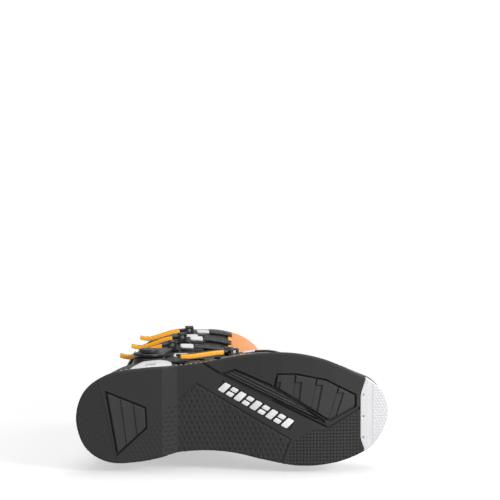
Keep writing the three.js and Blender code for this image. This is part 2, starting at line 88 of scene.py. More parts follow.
class Shader:
    def __init__(self, name):
        self.material = bpy.data.materials.new(name)
        self.material.use_nodes = True
        self.tree = self.material.node_tree
        self.tree.nodes.clear()

    def node(self, kind, settings=None, inputs=None, output=0):
        made = self.tree.nodes.new(kind)
        for key, value in (settings or {}).items():
            if key == "stops":
                for i, (place, shade) in enumerate(value):
                    stop = made.color_ramp.elements[i] if i < 2 else made.color_ramp.elements.new(place)
                    stop.position, stop.color = place, (shade, shade, shade, 1)
            else:
                setattr(made, key, value)
        for key, value in (inputs or {}).items():
            if isinstance(value, Wire):
                self.tree.links.new(value.socket, made.inputs[key])
            else:
                made.inputs[key].default_value = value
        return Wire(self, made.outputs[output]) if made.outputs else None

    def place(self):
        return self.node("ShaderNodeTexCoord", output="Object")

    def noise(self, scale, detail=3, where=None, stretch=(1, 1, 1)):
        spot = self.node("ShaderNodeMapping", None, {"Vector": where or self.place(), "Scale": stretch})
        return self.node("ShaderNodeTexNoise", None, {"Vector": spot, "Scale": scale, "Detail": detail})

    def cells(self, scale, feature="F1"):
        return self.node("ShaderNodeTexVoronoi", {"feature": feature},
                         {"Vector": self.place(), "Scale": scale})

    def ramp(self, value, *stops):
        return self.node("ShaderNodeValToRGB", {"stops": stops}, {"Fac": value})

    def mixColour(self, factor, first, second):
        return self.node("ShaderNodeMix", {"data_type": "RGBA"}, {0: factor, 6: first, 7: second},
                         output=2)

    def attribute(self, name):
        return self.node("ShaderNodeAttribute", {"attribute_name": name}, output="Fac")

    def bump(self, height, strength, distance, normal=None):
        inputs = {"Height": height, "Strength": strength, "Distance": distance}
        if normal:
            inputs["Normal"] = normal
        return self.node("ShaderNodeBump", None, inputs)

    def finish(self, constants, wires):
        surface = self.node("ShaderNodeBsdfPrincipled", None, {**constants, **wires})
        self.node("ShaderNodeOutputMaterial", None, {"Surface": surface})
        return self.material


def shade(value):
    value = value / 255
    return value / 12.92 if value <= 0.04045 else ((value + 0.055) / 1.055) ** 2.4


def colour(red, green, blue):
    return (shade(red), shade(green), shade(blue), 1)


# moulded finishes: a base colour with soft cloudy change, dust in the low spots, and wear on the ridges
# that on the dark finishes is also a painted highlight

finishes = {
    "soleRubber": {"base": (45, 45, 45), "dust": (58, 57, 56), "rough": (0.62, 0.8), "grain": 1400,
                   "deep": 0.12,
                   "shine": 0.3},
    "treadRubber": {"base": (50, 50, 50), "dust": (62, 61, 60), "rough": (0.55, 0.75), "grain": 1500,
                    "deep": 0.1,
                    "shine": 0.35},
    "bellowsRubber": {"base": (24, 24, 25), "dust": (38, 37, 37), "rough": (0.55, 0.7), "grain": 1200,
                      "deep": 0.1},
    "shellPlastic": {"base": (14, 14, 15), "dust": (28, 27, 27), "rough": (0.32, 0.48), "grain": 2200,
                     "deep": 0.05},
    "strapPlastic": {"base": (18, 18, 19), "dust": (32, 31, 31), "rough": (0.36, 0.5), "grain": 2000,
                     "deep": 0.05},
    "greyPlastic": {"base": (98, 92, 88), "dust": (120, 113, 108), "rough": (0.4, 0.55), "grain": 1800,
                    "deep": 0.06},
    "coverPlastic": {"base": (38, 37, 36), "dust": (56, 54, 52), "rough": (0.36, 0.5), "grain": 1800,
                     "deep": 0.06},
    # a lighter copy of the pale plastic for the inlay bars: painted light, because less light falls on
    # them than on the toe plate
    "inlayPlastic": {"base": (230, 230, 233), "dust": (212, 212, 214), "rough": (0.3, 0.45),
                     "grain": 1600, "deep": 0.04},
    # the pale plastic itself is set darker, a painted shade against the strong light on the toe plate
    "palePlastic": {"base": (203, 203, 206), "dust": (182, 182, 185), "rough": (0.3, 0.45), "grain": 1600,
                    "deep": 0.04},
    "orangePlastic": {"base": (250, 172, 28), "dust": (226, 138, 18), "rough": (0.22, 0.34),
                      "grain": 1800, "deep": 0.03},
    "board": {"base": (120, 110, 96), "dust": (90, 82, 70), "rough": (0.8, 0.95), "grain": 700,
              "deep": 0.2},
}


def moulded(name, look):
    shader = Shader(name)
    cloud = shader.noise(28, 4)
    speckle = shader.noise(look["grain"] / 3, 2)
    # convex ridges turn towards the dust colour: wear, and on the dark finishes a painted edge highlight
    edgeWearAndHighlight = shader.ramp(shader.node("ShaderNodeNewGeometry", output="Pointiness"), (0.5, 0), (0.56, 1))
    dusty = (cloud * 0.6 + speckle * 0.4).math("SUBTRACT", 0.42).math("MULTIPLY", 2.2).math("MAXIMUM", 0)
    factor = (dusty * 0.45 + edgeWearAndHighlight * 0.22).math("MINIMUM", 1)
    tint = shader.mixColour(factor, colour(*look["base"]), colour(*look["dust"]))
    smooth, rough = look["rough"]
    gloss = cloud * (rough - smooth) * 1.6 + (smooth - 0.12 * (rough - smooth))
    grain = shader.noise(look["grain"], 2)
    bump = shader.bump(grain, look["deep"], 0.0006)
    return shader.finish({"Specular IOR Level": look.get("shine", 0.5)},
                         {"Base Color": tint, "Roughness": gloss, "Normal": bump})


def leather(name):
    shader = Shader(name)
    pebbles = shader.cells(850, "SMOOTH_F1")
    creases = shader.noise(160, 5, stretch=(1, 1, 0.6))
    cloud = shader.noise(20, 3)
    height = pebbles * 0.7 + creases * 0.5
    tint = shader.mixColour((cloud * 0.5 + pebbles * 0.6).math("MINIMUM", 1), colour(20, 20, 21),
                            colour(38, 37, 38))
    return shader.finish({"Coat Weight": 0.05}, {
        "Base Color": tint, "Roughness": cloud * 0.25 + 0.38,
        "Normal": shader.bump(height, 0.35, 0.0007)})


def woven(name, base, light, pitch, rough=0.9):
    shader = Shader(name)
    spot = shader.node("ShaderNodeSeparateXYZ", None, {"Vector": shader.place()})
    across = Wire(shader, spot.socket.node.outputs["X"]) + Wire(shader, spot.socket.node.outputs["Y"])
    upright = Wire(shader, spot.socket.node.outputs["Z"])
    turns = 2 * math.pi / pitch
    warp = (across * turns).math("SINE")
    weft = (upright * turns).math("SINE")
    weave = warp * weft * 0.5 + 0.5
    cloud = shader.noise(60, 4)
    tint = shader.mixColour((weave * 0.6 + cloud * 0.4).math("MINIMUM", 1), colour(*base), colour(*light))
    return shader.finish({"Roughness": rough, "Sheen Weight": 0.25}, {
        "Base Color": tint, "Normal": shader.bump(weave, 0.5, 0.0008)})


def steel(name):
    shader = Shader(name)
    streaks = shader.noise(300, 3, stretch=(1, 1, 12))
    tint = shader.mixColour(streaks, colour(150, 150, 152), colour(196, 196, 198))
    return shader.finish({"Metallic": 1.0}, {
        "Base Color": tint, "Roughness": streaks * 0.2 + 0.25,
        "Normal": shader.bump(streaks, 0.1, 0.0003)})


def shinFinish(name):
    # orange front panel with a brighter rim, black outside it
    shader = Shader(name)
    rim, panel = shader.attribute("rim"), shader.attribute("panel")
    cloud = shader.noise(30, 4)
    scuffs = shader.noise(260, 4, stretch=(1, 1, 0.3))
    body = shader.mixColour(cloud, colour(196, 120, 54), colour(214, 140, 70))
    scuffed = shader.ramp(scuffs, (0.6, 0), (0.78, 1)) * 0.2
    body = shader.mixColour(scuffed, body, colour(240, 190, 134))
    dark = shader.mixColour(cloud, colour(15, 15, 16), colour(28, 27, 27))
    tint = shader.mixColour(rim, shader.mixColour(panel, dark, body), colour(250, 172, 28))
    return shader.finish({"Specular IOR Level": 0.3}, {
        "Base Color": tint, "Roughness": cloud * 0.16 + 0.3, "Normal": shader.bump(scuffs, 0.04, 0.0003)})


paint = {name: moulded(name, look) for name, look in finishes.items()}
paint["microfibre"] = leather("microfibre")
paint["padding"] = woven("padding", (30, 30, 33), (62, 62, 66), 0.0026)
paint["collarFabric"] = woven("collarFabric", (26, 26, 28), (50, 50, 54), 0.0018)
paint["steel"] = steel("steel")
paint["shinPlastic"] = shinFinish("shinPlastic")
print("materials:", len(paint))


# camera, lights and stage. The camera looks up at the sole, as if the boot lay on its inner side

view = {"place": (0.128, -0.216, -1.5), "aim": (0.128, -0.1695, 0.0), "lens": 106.5, "up": (0, -1, 0)}

camera = bpy.data.objects.new("camera", bpy.data.cameras.new("camera"))
bpy.context.collection.objects.link(camera)
back = (Vector(view["place"]) - Vector(view["aim"])).normalized()
right = Vector(view["up"]).cross(back).normalized()
turned = Matrix((right, back.cross(right), back)).transposed().to_4x4()
camera.matrix_world = Matrix.Translation(view["place"]) @ turned
camera.data.lens = view["lens"]
camera.data.sensor_width = 36
camera.data.clip_start, camera.data.clip_end = 0.05, 20
bpy.context.scene.camera = camera

lamps = {  # place, aim, size and watts
    "soleKey": ((1.3, -0.6, -0.98), (0.1, 0, 0.02), 0.45, 26),
    "soleFill": ((-0.5, -0.9, -1.2), (0.1, 0, 0.05), 0.8, 6),
    "sideKey": ((0.2, -1.7, 0.5), (0.08, 0, 0.2), 1.2, 17),
    "frontKey": ((1.4, -0.7, 1.0), (0.08, 0, 0.18), 1.0, 11),
    "backKey": ((-1.2, 1.1, 1.0), (0.05, 0, 0.2), 1.1, 24),
    "top": ((0.1, 0.2, 1.9), (0.08, 0, 0.1), 1.2, 3),
}
for name, (place, aim, size, watts) in lamps.items():
    lamp = bpy.data.objects.new(name, bpy.data.lights.new(name, "AREA"))
    lamp.data.energy, lamp.data.size = watts, size
    lamp.location = place
    lamp.rotation_euler = (Vector(aim) - Vector(place)).to_track_quat("-Z", "Y").to_euler()
    bpy.context.collection.objects.link(lamp)

world = bpy.data.worlds.new("studio")
world.use_nodes = True
backdrop = world.node_tree.nodes["Background"]
backdrop.inputs["Color"].default_value = (1, 1, 1, 1)
seen = world.node_tree.nodes.new("ShaderNodeLightPath")
level = world.node_tree.nodes.new("ShaderNodeMapRange")
level.inputs["To Min"].default_value = 0.4  # what lights the boot; the backdrop itself shows white
world.node_tree.links.new(seen.outputs["Is Camera Ray"], level.inputs["Value"])
world.node_tree.links.new(level.outputs["Result"], backdrop.inputs["Strength"])
bpy.context.scene.world = world
bpy.context.scene.view_settings.view_transform = "Standard"


def stagePaint(name, centre, near, far):
    # pale from the front, clear from behind, and fading out with distance
    shader = Shader(name)
    pale = shader.node("ShaderNodeBsdfDiffuse", None, {"Color": (0.93, 0.93, 0.93, 1)})
    clear = shader.node("ShaderNodeBsdfTransparent")
    behind = shader.node("ShaderNodeNewGeometry", output="Backfacing")
    away = shader.node("ShaderNodeVectorMath", {"operation": "DISTANCE"},
                       {0: shader.place(), 1: centre}, output="Value")
    faded = shader.node("ShaderNodeMapRange", None, {"Value": away, "From Min": near, "From Max": far})
    surface = shader.node("ShaderNodeMixShader", None, {
        0: behind.math("MAXIMUM", faded).math("MAXIMUM", stageLook["clear"]), 1: pale, 2: clear})
    shader.node("ShaderNodeOutputMaterial", None, {"Surface": surface})
    return shader.material


stageLook = {"size": 1.2, "near": 0.25, "far": 0.7, "gap": 0.0004, "clear": 0.5}


def makeStage():
    sheets = {
        "floor": Matrix.Translation((0.1, 0, -stageLook["gap"])),
        "restWall": Matrix.Translation((0.1, 0.0588, 0.1)) @ Matrix.Rotation(math.radians(90), 4, "X"),
    }
    for name, matrix in sheets.items():
        bm = bmesh.new()
        bmesh.ops.create_grid(bm, x_segments=1, y_segments=1, size=stageLook["size"], matrix=matrix)
        sheet = bpy.data.objects.new(name, bpy.data.meshes.new(name))
        bm.to_mesh(sheet.data)
        bm.free()
        sheet.data.materials.append(stagePaint(name, matrix.translation, stageLook["near"],
                                               stageLook["far"]))
        bpy.context.collection.objects.link(sheet)
        sheet.visible_shadow = sheet.visible_diffuse = sheet.visible_glossy = False


makeStage()
print("camera, lights and stage")


# mesh helpers. Shapes are worked out in millimetres and made metres when they are placed

def shapeObject(name, bm):
    mesh = bpy.data.meshes.new(name)
    bmesh.ops.recalc_face_normals(bm, faces=bm.faces)
    bm.to_mesh(mesh)
    bm.free()
    made = bpy.data.objects.new(name, mesh)
    bpy.context.collection.objects.link(made)
    return made


def evaluated(obj):
    graph = bpy.context.evaluated_depsgraph_get()
    mesh = bpy.data.meshes.new_from_object(obj.evaluated_get(graph), depsgraph=graph)
    obj.modifiers.clear()
    obj.data = mesh
    return obj


def combined(first, second, operation):
    change = first.modifiers.new("combine", "BOOLEAN")
    change.operation, change.object, change.solver = operation, second, "MANIFOLD"
    evaluated(first)
    bpy.data.objects.remove(second)
    return first


def both(first, second):
    return combined(first, second, "INTERSECT")


def without(first, second):
    return combined(first, second, "DIFFERENCE")


def joined(first, second):
    return combined(first, second, "UNION")


def remeshed(obj, voxel, smoothing=3):
    change = obj.modifiers.new("remesh", "REMESH")
    change.mode, change.voxel_size = "VOXEL", voxel
    if smoothing:
        soft = obj.modifiers.new("soften", "SMOOTH")
        soft.factor, soft.iterations = 0.5, smoothing
    return evaluated(obj)


def points(obj):
    spots = np.empty(len(obj.data.vertices) * 3)
    obj.data.vertices.foreach_get("co", spots)
    normals = np.empty(len(obj.data.vertices) * 3)
    obj.data.vertices.foreach_get("normal", normals)
    return spots.reshape(-1, 3), normals.reshape(-1, 3)


def setPoints(obj, spots):
    obj.data.vertices.foreach_set("co", spots.ravel())
    obj.data.update()
    return obj


def prism(outline, low, high, axis, rounding=0):
    bm = bmesh.new()
    ends = [bm.verts.new((a, low, b) if axis == "Y" else (a, b, low)) for a, b in outline]
    bm.faces.new(ends)
    if rounding:
        bmesh.ops.bevel(bm, geom=ends, offset=rounding, segments=4, profile=0.5, affect="VERTICES",
                        material=-1)
    grown = bmesh.ops.extrude_face_region(bm, geom=list(bm.faces))["geom"]
    reach = (0, high - low, 0) if axis == "Y" else (0, 0, high - low)
    bmesh.ops.translate(bm, vec=reach, verts=[v for v in grown if isinstance(v, bmesh.types.BMVert)])
    return shapeObject("prism", bm)


def sidePrism(outline, low=-200, high=200, rounding=0):
    return prism(outline, low, high, "Y", rounding)


def planPrism(outline, low=-50, high=450, rounding=0):
    return prism(outline, low, high, "Z", rounding)


def rod(start, end, radius, sides=32, tip=None):
    start, end = Vector(start), Vector(end)
    run = end - start
    turn = run.to_track_quat("Z", "Y").to_matrix().to_4x4()
    bm = bmesh.new()
    bmesh.ops.create_cone(bm, cap_ends=True, segments=sides, radius1=radius, depth=run.length,
                          radius2=radius if tip is None else tip,
                          matrix=Matrix.Translation((start + end) / 2) @ turn)
    return shapeObject("rod", bm)


def hardened(obj, width, segments=2):
    edge = obj.modifiers.new("edge", "BEVEL")
    edge.width, edge.segments, edge.limit_method = width, segments, "ANGLE"
    return evaluated(obj)


def nodeCopy(node):
    bm = bmesh.new()
    bm.from_mesh(frame["nodes"][node].data)
    bmesh.ops.remove_doubles(bm, verts=bm.verts, dist=2e-6)
    bmesh.ops.scale(bm, vec=(1000, 1000, 1000), verts=bm.verts)
    mesh = bpy.data.meshes.new(node)
    bm.to_mesh(mesh)
    bm.free()
    made = bpy.data.objects.new(node, mesh)
    bpy.context.collection.objects.link(made)
    return made


bodyOf = {node: body for body, nodes in frame["record"]["behaviour"]["bodies"].items() for node in nodes}
faceCount = {}


def lookOf(slot):
    first, *others = slot.split("_")
    return first + "".join(word.capitalize() for word in others)


def placed(obj, name, slot, look=None, body=None, nodes=(), smooth=True):
    obj.name = obj.data.name = name
    obj.data.transform(Matrix.Scale(mm, 4))
    obj.data.materials.clear()
    obj.data.materials.append(paint[look or lookOf(slot)])
    if smooth:
        obj.data.shade_smooth()
        obj.data.set_sharp_from_angle(angle=math.radians(40))
    if body != "blend":
        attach(obj, body or bodyOf[nodes[0]])
    if nodes:
        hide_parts(*nodes)
    faceCount[name] = len(obj.data.polygons)
    return obj


def inside(spots, outline):
    # how far each plan or side point lies inside a closed outline; negative outside
    a, b = spots[:, 0], spots[:, 1]
    nearest = np.full(len(a), 1e9)
    crossings = np.zeros(len(a), bool)
    for (ax, ay), (bx, by) in zip(outline, outline[1:] + outline[:1]):
        nearest = np.minimum(nearest, segmentDistance(a, b, ax, ay, bx, by))
        spans = (ay > b) != (by > b)
        slope = (bx - ax) * (b - ay) / ((by - ay) or 1e-9) + ax
        crossings ^= spans & (a < slope)
    return np.where(crossings, nearest, -nearest)


def segmentDistance(a, b, ax, ay, bx, by):
    run = np.array([bx - ax, by - ay])
    share = np.clip(((a - ax) * run[0] + (b - ay) * run[1]) / max(run @ run, 1e-9), 0, 1)
    return np.hypot(a - ax - share * run[0], b - ay - share * run[1])


def lineDistance(spots, line):
    gaps = [segmentDistance(spots[:, 0], spots[:, 1], *start, *end) for start, end in zip(line, line[1:])]
    return np.minimum.reduce(gaps)


def step(low, high, values):
    share = np.clip((values - low) / (high - low), 0, 1)
    return share * share * (3 - 2 * share)


# the boot's skin: sections fan round the ankle from the toe tip to the top of the shaft

skinLook = {
    "rings": 120, "sides": 80, "toeFade": 3.5 / 19,
    "sections": [  # front x and z, back x and z, half width, sideways shift, squareness front and back
        (262, 42, 262, 28, 11, -3, 2.2, 2.6), (259, 53, 259, 18, 21, -3, 2.2, 3.0),
        (251, 63, 250, 14, 29.5, -3, 2.2, 3.2), (237, 72, 235, 12, 36, -2.5, 2.2, 3.4),
        (217, 82, 212, 11, 43.5, -3.5, 2.2, 3.5), (196, 93, 184, 11, 48.5, -5.5, 2.2, 3.6),
        (178, 107, 150, 12, 49, -7.5, 2.2, 3.6), (166, 124, 112, 15, 47, -9, 2.2, 3.6),
        (159, 145, 70, 18, 45.5, -6.5, 2.3, 3.4), (155, 168, 25, 19, 45, -4, 2.3, 3.0),
        (153, 192, -20, 20, 45, -2, 2.4, 2.7), (151, 214, -40, 48, 45, -1, 2.4, 2.4),
        (150, 237, -37, 88, 45.5, -1, 2.5, 2.3), (149, 260, -28, 130, 47, -1, 2.5, 2.3),
        (148, 284, -22, 175, 50, -1, 2.5, 2.3), (146, 307, -20, 225, 53, -1, 2.5, 2.3),
        (145, 331, -21, 278, 55, -1, 2.5, 2.3), (143, 356, -22, 330, 56, -1, 2.5, 2.3),
        (141, 384, -22, 372, 56, -1, 2.5, 2.3), (139, 414, -21, 410, 56, -1, 2.5, 2.3),
    ],
}


def curvePoint(stops, share):
    # a smooth line through the stops, with knots spaced by the square root of the distance
    count = len(stops)
    first = min(int(share * (count - 1)), count - 2)
    weight = share * (count - 1) - first
    p1, p2 = stops[first], stops[first + 1]
    p0 = stops[first - 1] if first else 2 * p1 - p2
    p3 = stops[first + 2] if first + 2 < count else 2 * p2 - p1
    d0, d1, d2 = (max(np.linalg.norm(b - a) ** 0.5, 1e-4) for a, b in ((p0, p1), (p1, p2), (p2, p3)))
    t1 = ((p1 - p0) / d0 - (p2 - p0) / (d0 + d1) + (p2 - p1) / d1) * d1
    t2 = ((p2 - p1) / d1 - (p3 - p1) / (d1 + d2) + (p3 - p2) / d2) * d1
    c2, c3 = -3 * p1 + 3 * p2 - 2 * t1 - t2, 2 * p1 - 2 * p2 + t1 + t2
    return p1 + t1 * weight + c2 * weight ** 2 + c3 * weight ** 3


sectionTable = np.array(skinLook["sections"], float)


def ring(share):
    return [curvePoint(sectionTable[:, 2 * i:2 * i + 2], share) for i in range(4)]


def skinPoint(section, share, angle, grow):
    front, rear, width, square = section
    run = front - rear
    half = np.linalg.norm(run) / 2 + grow
    run = run / np.linalg.norm(run)
    middle = (front + rear) / 2 + np.array([grow * max(0, 1 - share / skinLook["toeFade"]), 0])
    power = 2 / square[0 if math.sin(angle) >= 0 else 1]
    side = math.copysign(abs(math.cos(angle)) ** power, math.cos(angle))
    lift = math.copysign(abs(math.sin(angle)) ** power, math.sin(angle))
    x, z = middle + run * lift * half
    return x, width[1] + side * (width[0] + grow), z


skinCache = {}


def skin(grow):
    if grow not in skinCache:
        bm = bmesh.new()
        bmesh.ops.create_grid(bm, x_segments=skinLook["rings"], y_segments=skinLook["sides"], size=1)
        sections = {}
        low = 0.012 * max(0, -grow)
        for vertex in bm.verts:
            share = low + (1 - low) * (vertex.co.x + 1) / 2
            key = round(share, 6)
            if key not in sections:
                sections[key] = ring(share)
            vertex.co = skinPoint(sections[key], share, math.pi * (vertex.co.y + 1), grow)
        bmesh.ops.remove_doubles(bm, verts=bm.verts, dist=0.01)
        bmesh.ops.holes_fill(bm, edges=[edge for edge in bm.edges if edge.is_boundary])
        made = shapeObject("skin", bm)
        skinCache[grow] = made.data
        bpy.data.objects.remove(made)
    made = bpy.data.objects.new("skin", skinCache[grow].copy())
    bpy.context.collection.objects.link(made)
    return made


def layer(inner, outer, *regions):
    made = skin(outer)
    for region in regions:
        made = both(made, region)
    return without(made, skin(inner))


# regions shared by several pieces, all from the same places as the frame

pivot = (18, 112)
gap = 0.4
guardWall = 2.6
angles = {"footFront": 6, "footRear": 188, "cuffFront": 29, "cuffRear": 173, "bellowsGap": 1}
openX, flapSeam, flapBottom = 100, 1.2, 184
groundLine = [(-60, 0), (39, 0), (53, 11), (100, 8), (140, 2), (160, 0), (192, 0), (215, 2), (240, 6.5),
              (262, 12.5), (285, 20)]
deckLine = [(-60, 30), (60, 30), (110, 26), (150, 21.5), (190, 20), (225, 22), (250, 26.5), (285, 36)]
shellTop = [(-60, 350), (openX, 362), (160, 366)]
collarTop = [(-60, 374), (60, 386), (160, 388)]


def heightOf(line, x):
    return np.interp(x, [a for a, _ in line], [b for _, b in line])


def wedge(start, end, reach=500):
    rim = [math.radians(start + (end - start) * i / 8) for i in range(9)]
    return sidePrism([pivot] + [(pivot[0] + reach * math.cos(a),
                                 pivot[1] + reach * math.sin(a)) for a in rim])


def aboveDeck(shift):
    return sidePrism([(x, z + shift) for x, z in deckLine] + [(400, 500), (-300, 500),
                                                              (-300, 30 + shift)])


def belowLine(line, shift):
    ends = [(-300, line[0][1] + shift)] + [(x, z + shift) for x, z in line] + [(400, line[-1][1] + shift)]
    return sidePrism(ends + [(400, -100), (-300, -100)])


def aboveLine(line, shift):
    ends = [(-300, line[0][1] + shift)] + [(x, z + shift) for x, z in line] + [(400, line[-1][1] + shift)]
    return sidePrism(ends + [(400, 700), (-300, 700)])


def behind(x):
    return sidePrism([(-300, -50), (x, -50), (x, 600), (-300, 600)])


def infront(x):
    return sidePrism([(x, -50), (400, -50), (400, 600), (x, 600)])


def footRegion():
    return wedge(angles["footRear"], 360 + angles["footFront"])


def cuffRegion():
    region = wedge(angles["cuffFront"], angles["cuffRear"])
    return without(region, rod((pivot[0], -150, pivot[1]), (pivot[0], 150, pivot[1]), 18.5))


def outward(spots, normals):
    # which points lie on a wall's outer face, from the line up the middle of the boot
    high = spots[:, 2] > 120
    middleX = np.where(high, 60, spots[:, 0] * 0.8)
    middleZ = np.where(high, spots[:, 2], 45)
    away = spots - np.stack([middleX, np.full(len(spots), -4.0), middleZ], 1)
    return np.einsum("ij,ij->i", away, normals) > 0


def carve(obj, cuts):
    # presses grooves into, or raises ribs from, a wall's outer face; lines are seen from the side
    spots, normals = points(obj)
    outer = outward(spots, normals)
    shift = np.zeros(len(spots))
    for cut in cuts:
        seen = spots[:, [0, 2]]
        where = np.sign(spots[:, 1] - cut.get("middle", -3)) if cut.get("side") else np.ones(len(spots))
        mask = where == cut.get("side", 1)
        if "area" in cut:
            depth = inside(seen, cut["area"])
            shift += mask * step(-cut["width"], cut["width"], depth) * cut["raise"]
        else:
            shift += mask * (1 - step(cut["width"] * 0.4, cut["width"],
                                      lineDistance(seen, cut["line"]))) * cut["raise"]
    return setPoints(obj, spots + normals * (shift * outer)[:, None])




# the sole: one rubber slab with pressed patterns, pockets for the tread inserts and a toe plate

soleLook = {
    "outline": [(-49.5, 3), (-41, -25.5), (-16, -43), (17, -48.5), (49, -51), (79, -54.5), (110, -60.5),
                (143, -64.5), (175, -64), (205, -57.5), (232, -45.5), (252, -35), (265, -22), (270, -3),
                (265, 15), (252, 32.5), (232, 43), (205, 49.5), (175, 50.5), (143, 45), (110, 38.5),
                (79, 37), (49, 40), (17, 46.5), (-17, 47), (-39.5, 33)],
    "edgeRound": 2.2, "cell": 0.78, "draftFrom": 5, "draft": 5.0,
    "heelRidges": [(-60, -38), (-27, -38), (-18, 0), (-8, 44), (-8, 60), (-60, 60)],
    "heelDots": [(2, 60), (2, 34), (25, 16), (37, -8), (39, 60)],
    "breastDots": [(39, -4), (53, -16), (53, 60), (39, 60)],
    "arch": [(54, -15), (73, -32), (169, 24), (158, 60), (54, 60)],
    "archEdge": [(54, -15), (73, -32), (169, 24), (158, 52)],
    "knurl": [(171, 26), (194, 13), (210, 13), (239, -5), (240, 26), (256, 62), (160, 62)],
    "longGroove": [(76, -56), (98, -42.6), (207.5, 11.5), (243, -9.5)],
    "grooveWidth": 2.4, "grooveDepth": 2.6,
}
treads = {
    "heel_tread_insert": [(-20, -26.5), (22.6, -9.4), (23.6, 12.4), (-8, 41)],
    "forefoot_tread_insert": [(155, -44), (176, -44), (206, -38), (237, -22), (237, -9), (209, 6),
                              (152, -29.5)],
    "ribbed_tread_insert": [(98, -43), (113, -48), (149, -33), (204.5, 4), (205, 8)],
}
heelSteps = [[(-4.6, -20), (2, 29)], [(8.6, -15), (12.8, 20)]]
toeBars = [[(154, -44), (151, -29)], [(174.6, -44), (171.4, -16)], [(196.6, -41), (189.4, -4)],
           [(219.8, -33), (206.8, 6)]]
inlayLook = {"start": (97, -31), "end": (171, 9.5), "width": 12, "bars": 9, "share": 0.74, "slant": 3.4}
plateLook = {"zone": [(254, -60), (241, -22), (241, 24), (254, 60), (300, 60), (300, -60)],
             "wall": 1.8, "lip": 4, "slots": (-21, 1, 22.5)}


def closedCurve(stops, each=8):
    stops = [np.array(stop, float) for stop in stops]
    line = stops[-2:] + stops + stops[:3]
    last = len(line) - 1
    shares = [(2 + i / each) / last for i in range(each * len(stops))]
    return [tuple(curvePoint(line, share)) for share in shares]


def inset(outline, distance):
    area = sum(a[0] * b[1] - b[0] * a[1] for a, b in zip(outline, outline[1:] + outline[:1]))
    turn = 1 if area > 0 else -1
    moved = []
    for before, here, after in zip(outline[-1:] + outline[:-1], outline, outline[1:] + outline[:1]):
        runs = [Vector((b[0] - a[0], b[1] - a[1])).normalized() for a,
                b in ((before, here), (here, after))]
        first, second = (Vector((-run.y, run.x)) * turn for run in runs)
        reach = distance / max(0.35, 1 + first.dot(second))
        moved.append((here[0] + (first.x + second.x) * reach, here[1] + (first.y + second.y) * reach))
    return moved


soleOutline = closedCurve(soleLook["outline"])


def soleBand(low, lowShift, high, highShift):
    lowSide = [(x, z + lowShift) for x, z in low]
    return sidePrism(lowSide + [(x, z + highShift) for x, z in reversed(high)])


def dimples(x, y, pitchX, pitchY, radiusX, radiusY, stagger=0.5):
    row = np.floor(y / pitchY)
    u = (x / pitchX + stagger * (row % 2)) % 1 - 0.5
    v = (y / pitchY) % 1 - 0.5
    return 1 - step(0.45, 1, np.hypot(u * pitchX / radiusX, v * pitchY / radiusY))


def soleHeight(spots):
    x, y = spots[:, 0], spots[:, 1]
    height = heightOf(groundLine, x)
    roundness = soleLook["edgeRound"]
    edge = np.clip(roundness - inside(spots, soleOutline), 0, roundness)
    height = height + roundness - np.sqrt(roundness ** 2 - edge ** 2)
    zone = {name: step(0, 0.8, inside(spots, soleLook[name]))
            for name in ("heelRidges", "heelDots", "breastDots", "arch", "knurl")}
    ridge = np.abs(((x * 0.82 + y * 0.57) / 3.3) % 1 - 0.5) * 2
    height += zone["heelRidges"] * 0.75 * step(0.2, 0.9, ridge)
    height += zone["heelDots"] * 0.5 * dimples(x, y, 5, 4.4, 0.9, 1.6)
    height += zone["breastDots"] * 1.1 * dimples(x, y, 6, 4.8, 1.7, 2.0)
    height += zone["arch"] * (0.3 + 0.8 * dimples(x, y, 5.2, 5.4, 1.1, 2.3))
    height += 1.0 * (1 - step(0.4, 1.1, lineDistance(spots, soleLook["archEdge"])))
    height += zone["knurl"] * 1.0 * dimples(x, y, 3.4, 3.4, 1.5, 1.5, 0)
    return height


def strip(line, width, low, high):
    # a prism along a line seen in plan, with mitred corners
    half = width / 2
    sides = []
    for side in (1, -1):
        for i, here in enumerate(line):
            runs = [Vector((b[0] - a[0], b[1] - a[1])).normalized()
                    for a, b in zip(line[max(0, i - 1):i + 1], line[max(0, i - 1) + 1:i + 2])]
            normals = [Vector((-run.y, run.x)) for run in runs]
            total = sum(normals, Vector((0, 0))) / (1 + normals[0].dot(normals[-1])) * (2 / len(normals))
            sides.append((side, (here[0] + total.x * half * side, here[1] + total.y * half * side)))
    left = [spot for side, spot in sides if side > 0]
    return planPrism(left + [spot for side, spot in reversed(sides) if side < 0], low, high)


def soleSides():
    # the sole's outer wall, drawn in towards the deck
    made = planPrism(soleOutline, -20, soleLook["draftFrom"])
    bm = bmesh.new()
    bm.from_mesh(made.data)
    top = [face for face in bm.faces if face.normal.z > 0.9]
    grown = bmesh.ops.extrude_face_region(bm, geom=top)["geom"]
    bmesh.ops.delete(bm, geom=top, context="FACES")
    drawnIn = inset(soleOutline, soleLook["draft"])
    for vertex in grown:
        if isinstance(vertex, bmesh.types.BMVert):
            nearest = min(range(len(soleOutline)),
                          key=lambda i: (vertex.co.xy - Vector(soleOutline[i])).length)
            vertex.co = (*drawnIn[nearest], 60)
    bpy.data.objects.remove(made)
    return shapeObject("sides", bm)


